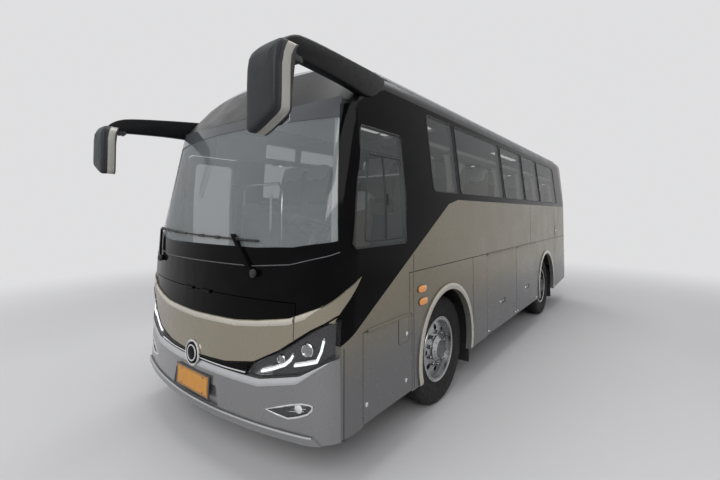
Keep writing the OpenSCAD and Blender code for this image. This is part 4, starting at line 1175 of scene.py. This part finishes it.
# back: round lamps, reflectors, brake strip, seal of the window; handle and catches of the hatch
def rear_lights():
    s = Shape()
    bezel = lathe([(0, 0), (0.060, 0), (0.062, 0.006), (0.058, 0.013), (0.053, 0.012), (0.052, 0.006),
                   (0, 0.006)], 36)
    lens = lathe([(0, 0.0062), (0.050, 0.0062), (0.046, 0.012), (0.025, 0.017), (0, 0.0185)], 32)
    for sy in (-1, 1):
        for z, mat in ((1.15, 2), (1.015, 1), (0.88, 1), (0.745, 3)):
            m = facing(*on_back(sy * 0.94, z, -0.002), -EX)
            s.add(bezel, 0, m)
            s.add(lens, mat, m)
        s.add(slab(on_back, steps(sy * 0.70, sy * 0.86, 4), steps(0.475, 0.515, 2), 0.0, 0.008), 1)
    s.add(slab(on_back, steps(-0.30, 0.30, 10), steps(2.555, 2.585, 2), 0.0, 0.012), 1)
    window = rounded(-0.95, 1.78, 0.95, 2.48, 0.08)
    s.add(tube([on_back(y, z, -0.001) for y, z in window], 0.009, 6, loop=True), 4)
    s.piece("rear_lights", "chrome red amber bowl seal")


def hatch_handle():
    s = Shape()
    s.add(slab(on_back, steps(-0.16, 0.16, 8), steps(1.155, 1.185, 2), 0.0, 0.022))
    s.add(tube([on_back(y, 1.146, 0.026) for y in steps(-0.15, 0.15, 8)], 0.007, 8), 1)
    for sy in (-1, 1):
        s.add(stud(0.014, 0.006), 1, facing(*on_back(sy * 0.74, 0.62), -EX))
    s.piece("hatch_handle", "housing chrome", "engine_hatch_body")


# under the floor: wheel-arch liners with mud flaps, air tanks with straps, silencer and pipe
def arch_liners():
    s = Shape()
    for x, inner in ((FA, 0.60), (RA, 0.56)):
        for sy in (-1, 1):
            loops = []
            for r, y in ((0.600, inner), (0.600, 1.188), (0.606, 1.188), (0.606, inner)):
                loops.append([on_arch(x, r, a, sy * y) for a in steps(rad(26), rad(154), 18)])
            s.add(rings(loops + [loops[0]], closed=False, caps=False))
            flap = []
            for t in steps(0, 1, 6):
                px, pz = x - 0.60 - 0.01 * sin(t * 3), 0.70 - 0.50 * t
                flap.append([(px, sy * y, pz) for y in steps(0.90, 1.17, 4)])
            rear = [[(px - 0.008, py, pz) for px, py, pz in row] for row in reversed(flap)]
            s.add(rings(flap + rear + [flap[0]], closed=False, caps=False))
    s.piece("arch_liners", "seal", angle=50)


def tanks_and_silencer():
    s = Shape()
    tank = [(0, -0.42), (0.08, -0.415), (0.115, -0.39), (0.125, -0.36)]
    tank += [(r, -d) for r, d in reversed(tank)]
    for sy in (-1, 1):
        x, y = FA - 1.9, sy * 0.30
        m = facing(x, y, 0.515, EX)
        s.add(lathe(tank, 36), 0, m)
        for d in (-0.22, 0.22):
            strap = [(0.1252, d - 0.02), (0.130, d - 0.02), (0.130, d + 0.02), (0.1252, d + 0.02)]
            s.add(lathe(strap, 36, True), 1, m)
            s.add(block((x + d - 0.02, y - 0.012, 0.63), (x + d + 0.02, y + 0.012, 0.69), 0.003), 1)
    drum = lathe([(0, -0.40), (0.10, -0.40), (0.135, -0.37), (0.135, 0.37), (0.10, 0.40), (0, 0.40)], 36)
    s.add(drum, 1, facing(XR + 0.62, 0.72, 0.66, EZ) @ Matrix.Rotation(rad(90), 4, "X"))
    pipe = ((0.62, 0.72, 0.53), (0.50, 0.74, 0.46), (0.30, 0.76, 0.42), (0.06, 0.76, 0.40))
    s.add(tube([(XR + x, y, z) for x, y, z in pipe], 0.04, 14), 1)
    s.piece("tanks_and_silencer", "frame iron")


saloon_lining()
driver_controls()
roof_hatches()
pod_cover()
pod_fans()
rear_lights()
hatch_handle()
arch_liners()
tanks_and_silencer()

# stage: pale floor that runs into the backdrop, soft lamps, camera at the photo's place
PALE, DIM = (0.74, 0.74, 0.75), (0.30, 0.30, 0.31)


def backdrop_rays(tree):
    """One for rays that see the backdrop straight, in a gloss or through glass."""
    path = node(tree, "LightPath", {})
    total = path["Is Camera Ray"]
    for key in ("Is Glossy Ray", "Is Transmission Ray"):
        total = node(tree, "Math", {0: total, 1: path[key]}, operation="MAXIMUM")[0]
    return total


def studio_floor(near=4.5, far=11.0):
    """A floor that keeps the shadow near the coach and turns into the backdrop further out."""
    bpy.ops.mesh.primitive_circle_add(vertices=96, radius=70, fill_type="NGON", location=(0, 0, 0))
    floor = bpy.context.object
    floor.name = "studio_floor"
    paper = material("studio_floor", (0.70, 0.70, 0.71), (0.68, 0.68, 0.69), 0.3, (0.6, 0.7), spec=0.2)
    floor.data.materials.append(paper)
    tree = paper.node_tree
    place = node(tree, "TexCoord", {})["Object"]
    away = node(tree, "VectorMath", {0: place}, operation="LENGTH")["Value"]
    limits = {"Value": away, "From Min": near, "From Max": far}
    edge = node(tree, "MapRange", limits, interpolation_type="SMOOTHSTEP")[0]
    power = node(tree, "MapRange", {"Value": backdrop_rays(tree), "To Min": 0.25})[0]
    glow = node(tree, "Emission", {"Color": PALE, "Strength": power})[0]
    paint = tree.nodes["Principled BSDF"].outputs[0]
    join = node(tree, "MixShader", {0: edge, 1: paint, 2: glow})[0]
    feed(tree, tree.nodes["Material Output"], {"Surface": join})


def softbox(name, place, target, size, power, seen=True):
    light = bpy.data.lights.new(name, "AREA")
    light.shape = "RECTANGLE"
    light.size, light.size_y = size
    light.energy = power
    o = put(name, light)
    o.location = place
    o.rotation_euler = (Vector(target) - Vector(place)).to_track_quat("-Z", "Y").to_euler()
    o.visible_glossy = seen


def studio_world():
    world = bpy.data.worlds.new("studio")
    bpy.context.scene.world = world
    world.use_nodes = True
    tree = world.node_tree
    colour = node(tree, "Mix", {0: backdrop_rays(tree), 6: DIM, 7: PALE}, data_type="RGBA")[2]
    feed(tree, tree.nodes["Background"], {"Color": colour})


def camera():
    cam = bpy.data.cameras.new("camera")
    cam.lens, cam.sensor_width, cam.shift_y = 18.8, 36, -0.0556
    cam.clip_end = 300
    eye = put("camera", cam)
    eye.location = (5.157, 2.774, 1.790)
    eye.rotation_euler = (rad(92.0), 0, rad(128.09))
    bpy.context.scene.camera = eye


studio_floor()
softbox("key", (9.0, 5.0, 6.5), (0.5, 0, 1.4), (7, 4), 400)
softbox("over", (0.0, 0.0, 9.0), (0, 0, 0), (11, 6), 420)
softbox("front_fill", (11, -3.5, 4.5), (2, 0, 1.4), (5, 4), 170, False)
softbox("back_fill", (-9, -6, 6), (-2, 0, 1.4), (6, 4), 220, False)
studio_world()
camera()
bpy.context.scene.view_settings.view_transform = "Standard"
